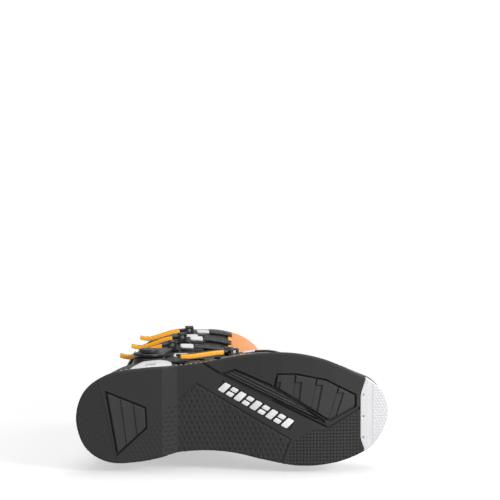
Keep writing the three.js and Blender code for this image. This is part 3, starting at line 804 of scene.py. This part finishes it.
def makeOutsole():
    bm = bmesh.new()
    cell = soleLook["cell"]
    bmesh.ops.create_grid(bm, x_segments=int(330 / cell), y_segments=int(132 / cell), size=1,
                          matrix=Matrix.Translation((112, -8, 0)) @ Matrix.Diagonal((165, 66, 1, 1)))
    spots = np.array([vertex.co[:] for vertex in bm.verts])
    for vertex, z in zip(bm.verts, soleHeight(spots)):
        vertex.co.z = z
    grown = bmesh.ops.extrude_face_region(bm, geom=list(bm.faces))["geom"]
    for vertex in grown:
        if isinstance(vertex, bmesh.types.BMVert):
            vertex.co.z = -40
    ground = shapeObject("ground", bm)
    made = both(soleSides(), soleBand(deckLine, -90, deckLine, 0))
    made = without(made, ground)
    for outline in treads.values():
        made = without(made, both(planPrism(outline, -10, 40, 1.2),
                                  soleBand(groundLine, -30, groundLine, 3)))
    inlay = inlayOutline(0)
    made = without(made, both(planPrism(inlay, -10, 40, 1.5), soleBand(groundLine, -30, groundLine, 1.4)))
    made = without(made, both(strip(soleLook["longGroove"], soleLook["grooveWidth"], -10, 40),
                              soleBand(groundLine, -30, groundLine, soleLook["grooveDepth"])))
    core = both(planPrism(inset(soleOutline, plateLook["wall"] + gap), -50, 100),
                soleBand(groundLine, plateLook["wall"] + gap, deckLine, 90))
    room = both(planPrism(inset(plateLook["zone"], -gap), -50, 100),
                soleBand(groundLine, -90, deckLine, gap - plateLook["lip"]))
    made = without(made, without(room, core))
    for low, high in ((-8.5, -7.6), (-5.4, -4.5)):
        belt = without(planPrism(inset(soleOutline, -5), -50, 100),
                       planPrism(inset(soleOutline, 3.9), -50, 100))
        made = without(made, both(belt, soleBand(deckLine, low, deckLine, high)))
    placed(made, "outsole_rubber", "sole_rubber", nodes=["outsole"])


def inlayOutline(shrink):
    start, end = Vector(inlayLook["start"]), Vector(inlayLook["end"])
    run = (end - start).normalized()
    side = Vector((-run.y, run.x)) * (inlayLook["width"] / 2 - shrink)
    start, end = start + run * shrink, end - run * shrink
    return [tuple(start - side), tuple(end - side), tuple(end + side), tuple(start + side)]


def makeInlay():
    # a row of slanted white blocks, full and split by turns, let into the sole
    start, end = Vector(inlayLook["start"]), Vector(inlayLook["end"])
    run = (end - start).normalized()
    side = Vector((-run.y, run.x))
    pitch = ((end - start).length - 1.6) / inlayLook["bars"]
    half = inlayLook["width"] / 2 - gap - 0.3
    made = None
    for i in range(inlayLook["bars"]):
        spans = [(-half, half)] if i % 2 == 0 else [(-half, -0.7), (0.7, half)]
        for low, high in spans:
            corners = []
            for along, across in ((0, low), (1, low), (1, high), (0, high)):
                slant = inlayLook["slant"] * across / half / 2
                reach = 0.8 + pitch * (i + 0.13 + along * inlayLook["share"]) - slant
                corners.append(tuple(start + run * reach + side * across))
            block = both(planPrism(corners, -10, 40, 1.1), soleBand(groundLine, 0.15, groundLine, 1.1))
            made = joined(made, block) if made else block
    # the inlay bars take the lighter copy of the pale plastic, painted lighter for the weaker light on
    # them
    placed(hardened(made, 0.25), "inlay_bars", "pale_plastic", "inlayPlastic", nodes=["sole_inlay"])


def makeTreads():
    for name, outline in treads.items():
        block = both(planPrism(inset(outline, 2.0), -10, 40, 1.0),
                     soleBand(groundLine, 0.05, groundLine, 2.6))
        remeshed(block, 0.55, 2)
        spots, normals = points(block)
        x, y = spots[:, 0], spots[:, 1]
        low = normals[:, 2] < -0.4
        rise = np.zeros(len(spots))
        if name == "heel_tread_insert":
            for line in heelSteps:
                (ax, ay), (bx, by) = line
                past = x - np.interp(y, (ay, by), (ax, bx))
                rise += 0.75 * step(-14, -0.6, past) * (past < 0) + 0.5 * (1 - step(0.3, 0.7,
                        np.abs(past)))
        elif name == "ribbed_tread_insert":
            (ax, ay), (bx, by) = (98, -43), (205, 8)
            length = math.hypot(bx - ax, by - ay)
            across = ((x - ax) * (by - ay) - (y - ay) * (bx - ax)) / length
            rise = 1.3 * step(0.25, 0.7, np.abs((across / 3.1) % 1 - 0.5) * 2)
        else:
            for (ax, ay), (bx, by) in toeBars:
                lineX = np.interp(y, sorted((ay, by)), (ax, bx) if ay < by else (bx, ax))
                slope = (bx - ax) / (by - ay)
                lineX = ax + (y - ay) * slope
                past = x - lineX
                rise = np.maximum(rise, 2.0 * (1 - step(0.35, 0.8, np.abs(past))))
                recess = step(0, 0.6, past) * step(0, 0.6, 7.6 - past) * step(0, 0.6, y - ay - 9)
                rise = np.maximum(rise, 1.8 * recess)
        spots[:, 2] += rise * low
        placed(setPoints(block, spots), name.replace("insert", "block"), "tread_rubber",
               nodes=[name])


def makeToePlate():
    wall = plateLook["wall"]
    core = both(planPrism(inset(soleOutline, wall), -50, 100), soleBand(groundLine, wall, deckLine, 90))
    made = both(planPrism(plateLook["zone"], -50, 100, 3), planPrism(soleOutline, -50, 100))
    made = both(made, soleBand(groundLine, 0, deckLine, -plateLook["lip"]))
    remeshed(without(made, core), 0.6, 3)
    spots, normals = points(made)
    x, y = spots[:, 0], spots[:, 1]
    low = step(0.35, 0.7, -normals[:, 2])
    rise = np.zeros(len(spots))
    for place in plateLook["slots"]:
        near = np.abs(y - place - (x - 243) * 0.02 * place / 21)
        rise += 0.7 * (1 - step(0.4, 0.9, near)) * step(242, 243, x) * step(260, 258,
                -x + 2 * 259) * (x < 259)
        rise += 1.0 * (1 - step(0.7, 1.3, np.hypot(x - 243.8, y - place)))
    rise += 0.45 * dimples(x, y, 3.2, 2.9, 0.8, 0.8) * (x > 255)
    rise += 0.35 * step(0, 1.5, x - 248.5) * (x < 254)
    spots[:, 2] += rise * low
    placed(setPoints(made, spots), "toe_plate", "pale_plastic", nodes=["toe_guard_plate"])
    made = None
    for place in plateLook["slots"]:
        screw = rod((243.8, place, heightOf(groundLine, 243.8) + 0.55), (243.8, place, 11), 1.1, 12)
        made = joined(made, screw) if made else screw
    placed(hardened(made, 0.2), "toe_plate_screws", "steel", body="foot")


weltLook = {"height": 2.6, "stitch": 3.4, "pitch": 5.2, "thick": 0.62}


def walk(line, pitch):
    # evenly spaced places and directions along a closed line
    spots = np.array(line + line[:1])
    lengths = np.concatenate([[0], np.cumsum(np.linalg.norm(np.diff(spots, axis=0), axis=1))])
    count = int(lengths[-1] / pitch)
    marks = np.arange(count) * lengths[-1] / count
    places = np.stack([np.interp(marks, lengths, spots[:, i]) for i in range(spots.shape[1])], 1)
    ahead = np.stack([np.interp((marks + 1) % lengths[-1], lengths, spots[:, i])
                      for i in range(spots.shape[1])], 1)
    return places, ahead - places


def threads(name, rows, body, slot, look, length, thick):
    # one object of short stitches, each a small round-ended bar lying along its row
    bm = bmesh.new()
    for place, direction, normal in rows:
        side = Vector(direction).normalized()
        up = Vector(normal)
        up = (up - side * up.dot(side)).normalized()
        turn = Matrix((side, up.cross(side), up)).transposed().to_4x4()
        bmesh.ops.create_uvsphere(bm, u_segments=6, v_segments=4, radius=1,
                                  matrix=Matrix.Translation(place) @ turn
                                  @ Matrix.Diagonal((length / 2, thick, thick * 0.7, 1)))
    placed(shapeObject(name, bm), name, slot, look, body=body)


def makeWelt():
    made = both(planPrism(inset(soleOutline, 2.6), -20, 90),
                soleBand(deckLine, gap, deckLine, gap + weltLook["height"]))
    remeshed(without(made, skin(gap)), 0.9, 2)
    placed(made, "welt_strip", "microfibre", nodes=["welt"])
    places, runs = walk(inset(soleOutline, 2.5), weltLook["pitch"])
    rows = []
    for (x, y), (dx, dy) in zip(places, runs):
        if x < 238:
            z = float(heightOf(deckLine, x)) + gap + weltLook["height"] * 0.62
            rows.append(((x, y, z), (dx, dy, 0), (dy, -dx, 0)))
    threads("welt_stitches", rows, "foot", "pale_plastic", "palePlastic", weltLook["stitch"],
            weltLook["thick"])


makeOutsole()
makeInlay()
makeTreads()
makeToePlate()
makeWelt()
print("sole:", faceCount)


# stitched rows on the boot's sides

def surfaceRow(obj, line, side, pitch, start=0.0):
    # places along a line seen from the side, dropped onto the piece's outer face
    spots = np.array(line, float)
    lengths = np.concatenate([[0], np.cumsum(np.linalg.norm(np.diff(spots, axis=0), axis=1))])
    marks = np.arange(start, lengths[-1], pitch)
    rows = []
    for x, z in zip(np.interp(marks, lengths, spots[:, 0]), np.interp(marks, lengths, spots[:, 1])):
        hit, spot, normal, _ = obj.ray_cast((x * mm, side * 0.15, z * mm), (0, -side, 0))
        if hit and abs(normal.y) > 0.15:
            rows.append((spot * 1000 + normal * 0.25, normal))
    return [(a, b - a, normal) for (a, normal),
            (b, _) in zip(rows, rows[1:]) if (b - a).length < 2.5 * pitch]


def curved(stops, count=24):
    stops = [np.array(stop, float) for stop in stops]
    return [tuple(curvePoint(stops, i / count)) for i in range(count + 1)]


threadLook = {"length": 2.7, "pitch": 3.7, "thick": 0.42}


def sewn(name, obj, rows, body, look="palePlastic", slot="microfibre"):
    made = []
    for line, side in rows:
        made += surfaceRow(obj, line, side, threadLook["pitch"])
    threads(name, made, body, slot, look, threadLook["length"], threadLook["thick"])


# the foot: leather upper, toe cap, heel counter and guards

footLook = {
    "flexFolds": [curved([(199 - 9.5 * k, 32), (193 - 9.5 * k, 62), (186 - 8.5 * k, 100 + 5 * k),
                          (180 - 8 * k, 128 + 5 * k)])
                  for k in range(4)],
    "sideSeam": curved([(52, 74), (84, 78), (118, 104), (152, 128)]),
    "lowSeam": curved([(160, 30), (150, 52), (156, 78), (172, 96)]),
    "overlay": curved([(58, 100), (84, 88), (116, 112), (150, 140), (150, 124), (118, 90), (84, 70),
                       (60, 80), (58, 100)], 60),
    "toe": [(192, 0), (300, 0), (300, 150), (222, 150), (214, 76)],
    "counter": [(-90, 0), (54, 0), (50, 50), (20, 80), (-2, 92), (-90, 97)],
    "frameLeg": [(6, 98), (34, 104), (88, 62), (96, 34), (66, 34), (58, 54), (24, 84)],
    "heelPlate": [(2, 40), (14, 66), (34, 62), (46, 46), (46, 36), (2, 36)],
    "heelSlot": [(14, 44), (17, 50), (30, 48), (28, 43)],
    "outerGuard": [(101, 30), (97, 54), (106, 66), (128, 68), (150, 64), (156, 30)],
    "innerGuard": [(101, 30), (98, 62), (112, 92), (150, 84), (184, 66), (186, 30)],
}
weltTop = gap + weltLook["height"] + gap
guardIn, guardOut = gap, gap + guardWall
plateIn, plateOut = 2 * gap + guardWall, 2 * gap + 2 * guardWall


def makeUpper():
    made = remeshed(layer(-3.0, 0.0, footRegion(), aboveDeck(gap)), 1.35, 3)
    folds = [{"line": line, "width": 2.6, "raise": -1.1} for line in footLook["flexFolds"]]
    carve(made, folds + [
        {"area": footLook["overlay"], "width": 0.9, "raise": 0.25},
        {"line": footLook["lowSeam"], "width": 1.3, "raise": -0.5},
        {"line": footLook["sideSeam"], "width": 1.3, "raise": -0.4}])
    placed(made, "upper_leather", "microfibre", nodes=["foot_upper"])
    rows = [(line, side) for line in (footLook["lowSeam"], footLook["sideSeam"]) for side in (-1, 1)]
    rows += [([(x + 3, z) for x, z in line], side) for line, side in rows]
    sewn("upper_stitches", made, rows, "foot", look="greyPlastic")


def makeToeCap():
    made = remeshed(layer(guardIn, guardOut, sidePrism(footLook["toe"]), aboveDeck(weltTop)), 1.0, 4)
    edge = curved([(200, 24), (216, 50), (223, 76), (229, 110)])
    carve(made, [
        {"line": edge, "width": 1.6, "raise": -0.9},
        {"line": curved([(206, 24), (222, 48), (230, 74), (236, 100)]), "width": 1.0, "raise": -0.4},
        {"line": curved([(208, 40), (236, 47), (262, 44), (275, 40)]), "width": 1.4, "raise": -0.6},
        {"line": curved([(208, 44), (236, 51), (262, 48), (275, 44)]), "width": 1.2, "raise": 0.3}])
    placed(made, "toe_cap_shell", "shell_plastic", nodes=["toe_cap"])


def makeCounter():
    room = sidePrism(inset(footLook["frameLeg"], -1))
    pivotRoom = rod((pivot[0], -150, pivot[1]), (pivot[0], 150, pivot[1]), 18)
    made = layer(guardIn, guardOut, sidePrism(footLook["counter"]), footRegion(), aboveDeck(weltTop))
    made = remeshed(without(without(made, room), pivotRoom), 1.0, 4)
    ribs = [{"line": [(-70, 42 + 7 * k), (-24, 42 + 7 * k), (-14, 38 + 7 * k)], "width": 1.8,
             "raise": -0.8}
            for k in range(6)]
    carve(made, ribs + [{"line": curved([(-12, 84), (8, 74), (30, 58), (48, 40)]), "width": 1.4,
                         "raise": -0.7}])
    placed(made, "heel_counter_shell", "shell_plastic", nodes=["heel_counter"])
    plate = layer(plateIn, plateOut, sidePrism(footLook["heelPlate"], -200, 0, 3))
    plate = remeshed(without(plate, sidePrism(footLook["heelSlot"], -200, 0, 1)), 0.7, 3)
    carve(plate, [{"line": [(6, 41), (44, 41)], "width": 0.9, "raise": -0.35},
                  {"line": [(17, 62), (33, 58), (43, 45)], "width": 0.9, "raise": -0.4}])
    placed(plate, "heel_plate", "pale_plastic", nodes=["heel_guard_plate"])


def makeGuards():
    outer = remeshed(layer(guardIn, guardOut, sidePrism(footLook["outerGuard"], -200, 0, 4),
                           aboveDeck(weltTop)), 0.8, 4)
    carve(outer, [{"line": [(104, 40), (103, 54), (110, 61), (128, 62.5), (147, 59)], "width": 1.2,
                   "raise": -0.6},
                  {"line": [(118, 30), (116, 62)], "width": 1.0, "raise": -0.9},
                  {"line": [(136, 26), (134, 60)], "width": 1.0, "raise": -0.9}])
    placed(outer, "outer_guard", "grey_plastic", nodes=["outer_foot_guard"])
    inner = remeshed(layer(guardIn, guardOut, sidePrism(footLook["innerGuard"], 0, 200, 5),
                           aboveDeck(weltTop)), 1.0, 4)
    ribs = [{"line": [(104 + 12 * k, 44), (112 + 12 * k, 78)], "width": 2.0,
             "raise": 0.5} for k in range(6)]
    carve(inner, ribs + [{"line": [(104, 38), (103, 60), (115, 86), (150, 78), (180, 62), (181, 36)],
                          "width": 1.2, "raise": -0.6}])
    placed(inner, "inner_guard", "shell_plastic", nodes=["inner_foot_guard"])


# ankle hinge: moulded frames and arms either side, with their bolts and covers

hingeLook = {"frameLine": [(20, 92), (34, 94), (76, 60), (80, 40)], "armLine": [(19, 128), (24, 158)]}


def mouldedNode(node, name, slot, voxel=0.75, smoothing=3, cuts=()):
    made = remeshed(nodeCopy(node), voxel, smoothing)
    if cuts:
        carve(made, cuts)
    return placed(made, name, slot, nodes=[node])


def makeHinges():
    x, z = pivot
    for where, side in (("outer", -1), ("inner", 1)):
        mouldedNode(f"ankle_frame_{where}", f"ankle_frame_{where}_shell", "shell_plastic",
                 0.8, 4, [
            {"line": hingeLook["frameLine"], "width": 3.4, "raise": -0.9, "side": side},
            {"line": [(30, 78), (58, 62), (70, 40)], "width": 1.0, "raise": 0.4, "side": side}])
        mouldedNode(f"hinge_arm_{where}", f"hinge_arm_{where}_shell", "shell_plastic", 0.7,
                 3, [
            {"line": hingeLook["armLine"], "width": 4.6, "raise": -1.0, "side": side},
            {"area": [(x - 14.6, z), (x - 10, z + 10), (x, z + 14.6), (x + 10, z + 10), (x + 14.6, z),
                      (x + 10, z - 10), (x, z - 14.6), (x - 10, z - 10)], "width": 0.6, "raise": -0.5,
                      "side": side}])
        cover = remeshed(nodeCopy(f"pivot_cover_{where}"), 0.5, 3)
        for k in range(6):
            turn = math.radians(60 * k + 15)
            spot = (x + 7 * math.cos(turn), z + 7 * math.sin(turn))
            carve(cover, [{"line": [(spot[0], spot[1]),
                                    (spot[0] + 1.5 * math.cos(turn), spot[1] + 1.5 * math.sin(turn))],
                           "width": 1.5, "raise": -0.55, "side": side, "middle": 0}])
        carve(cover, [{"line": [(x - 3, z), (x + 3, z)], "width": 1.2, "raise": -0.5, "side": side}])
        placed(cover, f"pivot_cover_{where}_cap", "grey_plastic", "coverPlastic",
               nodes=[f"pivot_cover_{where}"])
        placed(hardened(nodeCopy(f"pivot_bolt_{where}"), 0.4), f"pivot_bolt_{where}_steel", "steel",
               nodes=[f"pivot_bolt_{where}"])


# the cuff: shell, calf plate, heat guard and side plate

cuffLook = {
    "calf": [(-90, 136), (-18, 146), (-13, 182), (-13, 330), (-90, 326)],
    "heat": [(46, 172), (88, 172), (88, 340), (12, 334), (12, 186)],
    "accent": [(43, 134), (66, 143), (58, 158), (43, 156)],
    "sidePlate": [(8, 272), (44, 277), (66, 284), (62, 291), (14, 284)],
    "flow": [curved([(4, 172 + 7 * k), (36, 166 + 6 * k), (70, 176 + 5 * k),
                     (99, 196 + 4 * k)]) for k in range(2)],
    "upperFlow": [curved([(0, 224 + 54 * k), (30, 222 + 54 * k), (62, 230 + 54 * k),
                          (99, 240 + 54 * k)]) for k in range(2)],
    "panel": [(-4, 322), (30, 328), (66, 332), (66, 346), (30, 344), (-6, 338)],
}


def makeCuff():
    made = remeshed(layer(-3.2, 0.0, cuffRegion(), behind(openX), belowLine(shellTop, 0)), 1.35, 3)
    cuts = [{"line": line, "width": 2.2, "raise": 0.35} for line in cuffLook["flow"]]
    cuts += [{"line": line, "width": 1.6, "raise": -0.8} for line in cuffLook["upperFlow"]]
    cuts += [{"area": cuffLook["panel"], "width": 1.0, "raise": -0.7}]
    cuts += [{"line": [(2 + 9 * k, 327), (8 + 9 * k, 341)], "width": 1.5,
              "raise": -0.8} for k in range(7)]
    cuts += [{"line": [(-60, 346), (openX, 358)], "width": 1.3, "raise": -0.6}]
    carve(made, cuts)
    placed(made, "cuff_shell_body", "shell_plastic", nodes=["cuff_shell"])
    sewn("cuff_stitches", made, [([(-10, 344), (openX - 2, 355.5)], side) for side in (-1, 1)], "cuff",
         look="greyPlastic")

    calf = remeshed(layer(guardIn, guardOut, cuffRegion(), sidePrism(cuffLook["calf"], rounding=6)), 1.15,
                    4)
    cuts = [{"line": [(-60, 190 + 17 * k), (-30, 190 + 17 * k), (-18, 182 + 17 * k)], "width": 2.0,
             "raise": -0.9}
            for k in range(8)]
    cuts += [{"line": [(-60, 146), (-22, 154), (-17.5, 184), (-17.5, 324)], "width": 1.0, "raise": -0.4}]
    carve(calf, cuts)
    placed(calf, "calf_leather", "microfibre", nodes=["calf_plate"])
    sewn("calf_stitches", calf, [([(-20, 158), (-15.8, 184), (-15.8, 326)], side) for side in (-1, 1)],
         "cuff",
         look="greyPlastic")

    heat = remeshed(layer(guardIn, guardOut, cuffRegion(), sidePrism(cuffLook["heat"], 0, 200, 8)), 1.1,
                    4)
    cuts = [{"line": [(20, 200 + 14 * k), (80, 192 + 14 * k)], "width": 1.7,
             "raise": -0.7} for k in range(10)]
    carve(heat, cuts + [{"line": [(49, 178), (83, 178), (83, 334), (17, 329), (17, 189), (49, 178)],
                         "width": 1.0, "raise": -0.5}])
    placed(heat, "heat_guard_leather", "microfibre", nodes=["inner_heat_guard"])
    sewn("heat_guard_stitches", heat,
         [([(50, 175), (85.5, 175), (85.5, 337), (14.5, 331), (14.5, 188), (50, 175)], 1)],
         "cuff", look="greyPlastic")

    accent = sidePrism(cuffLook["accent"], -200, 0, 2.5)
    accent = remeshed(layer(0.2, 2.4, cuffRegion(), accent), 0.6, 3)
    carve(accent, [{"line": [(48, 150), (62, 146)], "width": 0.9, "raise": -0.4}])
    placed(accent, "cuff_accent", "pale_plastic", body="cuff")

    side = remeshed(layer(guardIn, guardOut, cuffRegion(), sidePrism(cuffLook["sidePlate"], -200, 0, 2)),
                    0.6, 3)
    carve(side, [{"line": [(14, 279), (44, 282), (60, 286)], "width": 0.9, "raise": -0.4}])
    placed(side, "side_plate_white", "pale_plastic", nodes=["outer_side_plate"])


# the shin flap's plate, with a bright rim and a vent

flapLook = {
    "outer": [(84, 180), (74, 204), (74, 352), (82, 361), (300, 366), (300, 180)],
    "inner": [(101, 180), (101, 361), (300, 366), (300, 180)],
    "vent": [(126, 205), (146, 214), (128, 250)],
    "panel": [(113, 196), (103, 226), (101, 340), (108, 352), (300, 358), (300, 150), (132, 150)],
    "rim": 2.8,
}


def flapRoom():
    return sidePrism([(0, flapBottom), (300, flapBottom), (300, 500), (0, 500)])


def makeShin():
    shape = joined(sidePrism(flapLook["outer"], -200, 0.01), sidePrism(flapLook["inner"], 0, 200))
    made = layer(guardIn, guardOut, flapRoom(), shape)
    made = remeshed(without(made, sidePrism(flapLook["vent"], -200, 0, 1.5)), 1.1, 4)
    ridges = [curved([(150, 196 + 2 * k), (138 - 6 * k, 262), (142 - 2 * k, 340)]) for k in range(2)]
    carve(made, [{"line": line, "width": 2.4, "raise": 0.35} for line in ridges]
          + [{"line": curved([(100, 190), (96, 240), (100, 300), (104, 350)]), "width": 1.6,
              "raise": -0.6, "side": -1}]
          + [{"line": [(112 + 8 * k, 318), (118 + 8 * k, 346)], "width": 1.8,
              "raise": -0.9} for k in range(4)])
    spots, normals = points(made)
    seen = spots[:, [0, 2]]
    panelGap = inside(seen, flapLook["panel"])
    ventGap = np.where(spots[:, 1] < 0, -inside(seen, flapLook["vent"]), 99)
    panel = step(-0.5, 0.5, panelGap)
    rim = panel * (1 - step(flapLook["rim"] - 0.4, flapLook["rim"] + 0.4, np.minimum(panelGap, ventGap)))
    raised = (panel * 0.5 + rim * 0.3 - 0.4) * outward(spots, normals)
    setPoints(made, spots + normals * raised[:, None])
    for name, values in (("rim", rim), ("panel", panel)):
        stored = made.data.attributes.new(name, "FLOAT", "POINT")
        stored.data.foreach_set("value", values.astype(np.float32))
    placed(made, "shin_guard", "shin_plastic", nodes=["shin_plate"])
    vent = remeshed(layer(gap, 1.6, sidePrism(inset(flapLook["vent"], gap), -200, 0, 1)), 0.5, 2)
    carve(vent, [{"line": [(124, 212 + 6 * k), (148, 216 + 6 * k)], "width": 1.6,
                  "raise": -0.6} for k in range(6)])
    placed(vent, "shin_vent_mesh", "shell_plastic", nodes=["shin_vent"])


# buckles: base, lever with its bright edge, and a toothed strap with a white end

buckleLook = {
    "low": {"turn": 4, "outerEnd": 106}, "mid": {"turn": 4, "outerEnd": 106},
    "high": {"turn": 4, "outerEnd": 106}, "instep": {"turn": 20, "innerEnd": 128},
}
strapLook = {"width": 20, "start": 9, "pale": 15, "teeth": 3.1, "toothed": 34}


def makeBuckles():
    for name, look in buckleLook.items():
        low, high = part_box(f"lever_pin_{name}")
        middle = (low + high) * 500
        turn = math.radians(look["turn"])
        run, rise = (math.cos(turn), math.sin(turn)), (-math.sin(turn), math.cos(turn))

        def spot(u, v):
            return (middle.x + u * run[0] + v * rise[0], middle.z + u * run[1] + v * rise[1])

        def local(spots):
            x, z = spots[:, 0] - middle.x, spots[:, 2] - middle.z
            return x * run[0] + z * run[1], x * rise[0] + z * rise[1]

        mouldedNode(f"buckle_base_{name}", f"buckle_base_{name}_shell", "shell_plastic", 0.6,
                 2, [
            {"line": [spot(-14, -6), spot(-14, 6)], "width": 1.2, "raise": -0.6, "side": -1}])
        lever = remeshed(nodeCopy(f"lever_{name}"), 0.55, 3)
        spots, normals = points(lever)
        u, v = local(spots)
        slot = step(-4.6, -3.8, -np.abs(v)) * step(-52, -50, u) * step(10, 12, -u)
        ridges = 0.35 * step(0.3, 0.8, np.abs(((u - 0.5 * np.abs(v)) / 4) % 1 - 0.5) * 2)
        depth = slot * (0.9 - ridges) * (normals[:, 1] < -0.3)
        setPoints(lever, spots - normals * depth[:, None])
        placed(lever, f"lever_{name}_shell", "shell_plastic", nodes=[f"lever_{name}"])
        trim = remeshed(nodeCopy(f"lever_trim_{name}"), 0.5, 4)
        spots, normals = points(trim)
        u, v = local(spots)
        groove = 0.4 * (1 - step(0.5, 1.0, np.abs(v + 9.2))) * (normals[:, 1] < -0.3) * step(-54, -52, u)
        setPoints(trim, spots - normals * groove[:, None])
        placed(trim, f"lever_trim_{name}_edge", "orange_plastic",
               nodes=[f"lever_trim_{name}"])

        half = strapLook["width"] / 2
        start = strapLook["start"] + strapLook["pale"] + gap
        corners = [spot(start, -half), spot(300, -half), spot(300, half), spot(start, half)]
        region = sidePrism(corners, -200, 0.01)
        if "outerEnd" in look:
            region = both(region, behind(look["outerEnd"]))
        else:
            region = joined(region, both(sidePrism(corners, 0, 200), infront(look["innerEnd"])))
        strapIn = 2 * gap + guardWall
        strap = remeshed(layer(strapIn, strapIn + 2, region), 0.75, 2)
        spots, normals = points(strap)
        u, v = local(spots)
        outer = outward(spots, normals)
        tooth = step(0.15, 0.85, np.abs((u / strapLook["teeth"]) % 1 - 0.5) * 2)
        zone = step(-7.2, -6.6, -np.abs(v)) * step(-start - strapLook["toothed"], -start - 28,
                                                   -u) * (spots[:, 1] < 0)
        ribs = 0.5 * (1 - step(0.4, 1.0, np.abs(np.abs(v) - 8.2)))
        setPoints(strap, spots - normals * ((0.8 * tooth * zone + ribs) * outer)[:, None])
        placed(strap, f"strap_{name}_band", "strap_plastic", nodes=[f"strap_{name}"])
        corners = [spot(strapLook["start"], -half), spot(start - gap, -half), spot(start - gap, half),
                   spot(strapLook["start"], half)]
        pale = remeshed(layer(strapIn, strapIn + 2, sidePrism(corners, -200, 0, 2.5)), 0.55, 3)
        carve(pale, [{"line": [spot(12, k * 4), spot(21, k * 4)], "width": 0.9,
                      "raise": -0.5} for k in (-1, 0, 1)])
        placed(pale, f"strap_end_{name}_tip", "pale_plastic", nodes=[f"strap_end_{name}"])


# rubber bellows folded like a fan round the ankle pivot

bellowsLook = {"front": 5.2, "rear": 3.2, "deep": 1.5}


def foldedBellows(made, every):
    spots, normals = points(made)
    turn = np.degrees(np.arctan2(spots[:, 2] - pivot[1], spots[:, 0] - pivot[0]))
    sign = np.where(outward(spots, normals), 1, -1)
    wave = step(0, 1, np.abs((turn / every) % 1 - 0.5) * 2) * bellowsLook["deep"]
    return setPoints(made, spots - normals * (wave * sign)[:, None])


def makeBellows():
    front = sidePrism([(openX + flapSeam, 90), (300, 90), (300, flapBottom - gap),
                       (openX + flapSeam, flapBottom - gap)])
    reach = joined(wedge(0, angles["cuffFront"] - angles["bellowsGap"]), front)
    made = layer(-3.0, 0.0, wedge(angles["footFront"] + angles["bellowsGap"], 180), reach)
    made = without(made, rod((pivot[0], -150, pivot[1]), (pivot[0], 150, pivot[1]), 19))
    made = foldedBellows(remeshed(made, 1.2, 3), bellowsLook["front"])
    placed(made, "front_bellows_rubber", "bellows_rubber", body="blend",
           nodes=["front_bellows"])
    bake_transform(made)
    made = layer(-3.0, 0.0, wedge(angles["cuffRear"] + 1, angles["footRear"] - 1))
    made = without(made, rod((pivot[0], -150, pivot[1]), (pivot[0], 150, pivot[1]), 21))
    made = foldedBellows(remeshed(made, 1.1, 3), bellowsLook["rear"])
    placed(made, "rear_bellows_rubber", "bellows_rubber", body="blend",
           nodes=["rear_bellows"])
    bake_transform(made)


# padding: each pad is blown up a little by a short cloth simulation, then its seams are pressed in

def cushioned(made, voxel, swell, levels):
    remeshed(made, voxel, 2)
    made.data.transform(Matrix.Scale(mm, 4))
    before, _ = points(made)
    cloth = made.modifiers.new("fill", "CLOTH")
    cloth.settings.use_pressure = True
    cloth.settings.uniform_pressure_force = 4
    cloth.settings.effector_weights.gravity = 0
    cloth.settings.quality = 4
    cloth.point_cache.frame_start, cloth.point_cache.frame_end = 1, 20
    for moment in range(1, 21):
        bpy.context.scene.frame_set(moment)
    evaluated(made)
    bpy.context.scene.frame_set(1)
    after, _ = points(made)
    moved = after - before
    length = np.linalg.norm(moved, axis=1, keepdims=True)
    setPoints(made, before + moved * np.minimum(1, swell * mm / np.maximum(length, 1e-9)))
    made.data.transform(Matrix.Scale(1000, 4))
    fine = made.modifiers.new("fine", "SUBSURF")
    fine.levels = fine.render_levels = levels
    return evaluated(made)


padLook = {"swell": 0.5, "slack": 0.4, "tuck": 1.6}


def makePads():
    slack = padLook["slack"]
    jobs = {
        "tongue_pad": (["tongue"], layer(-8.7, -0.8, infront(openX + flapSeam + slack), flapRoom(),
                                         belowLine(collarTop, -slack)), "padding",
                       [{"line": [(90, 364 + 8 * k), (170, 366 + 8 * k)], "width": 1.5,
                         "raise": -0.9} for k in range(3)]),
        "collar_pad": (["collar"], layer(-8.7, -0.8, behind(openX - slack),
                                         aboveLine(shellTop, -padLook["tuck"]),
                                         belowLine(collarTop, -slack)), "collar_fabric",
                       [{"line": [(-60, 357 + 8 * k), (openX, 369 + 8 * k)], "width": 1.6,
                         "raise": -1.0} for k in range(3)]),
        "cuff_liner_pad": (["cuff_liner"],
                           layer(-8.7, -4.0, cuffRegion(), behind(openX - slack),
                                 belowLine(shellTop, -slack)),
                           "padding", []),
        "foot_liner_pad": (["foot_liner"], layer(-8.5, -3.8, footRegion(), aboveDeck(3.8)), "padding",
                           []),
        "footbed_pad": (["footbed"], both(skin(-9.7), soleBand(deckLine, 4.0, deckLine, 7.4)), "padding",
                        []),
    }
    for name, (nodes, made, slot, seams) in jobs.items():
        cushioned(made, 2.6, padLook["swell"], 1 if seams else 0)
        if seams:
            carve(made, seams)
        placed(made, name, slot, nodes=nodes)
        print("pad:", name, faceCount[name])


def finishHidden():
    for node, look in {"midsole_board": "board", "steel_shank": "steel", **{
            f"lever_pin_{name}": "steel" for name in buckleLook}}.items():
        piece = frame["nodes"][node]
        piece.data.materials.clear()
        piece.data.materials.append(paint[look])


makeUpper()
makeToeCap()
makeCounter()
makeGuards()
print("foot")
makeHinges()
makeCuff()
makeShin()
print("cuff and flap")
makeBuckles()
makeBellows()
print("buckles and bellows")
makePads()
finishHidden()
print("triangles about", 2 * sum(faceCount.values()),
      sorted(faceCount.items(), key=lambda item: -item[1])[:12])
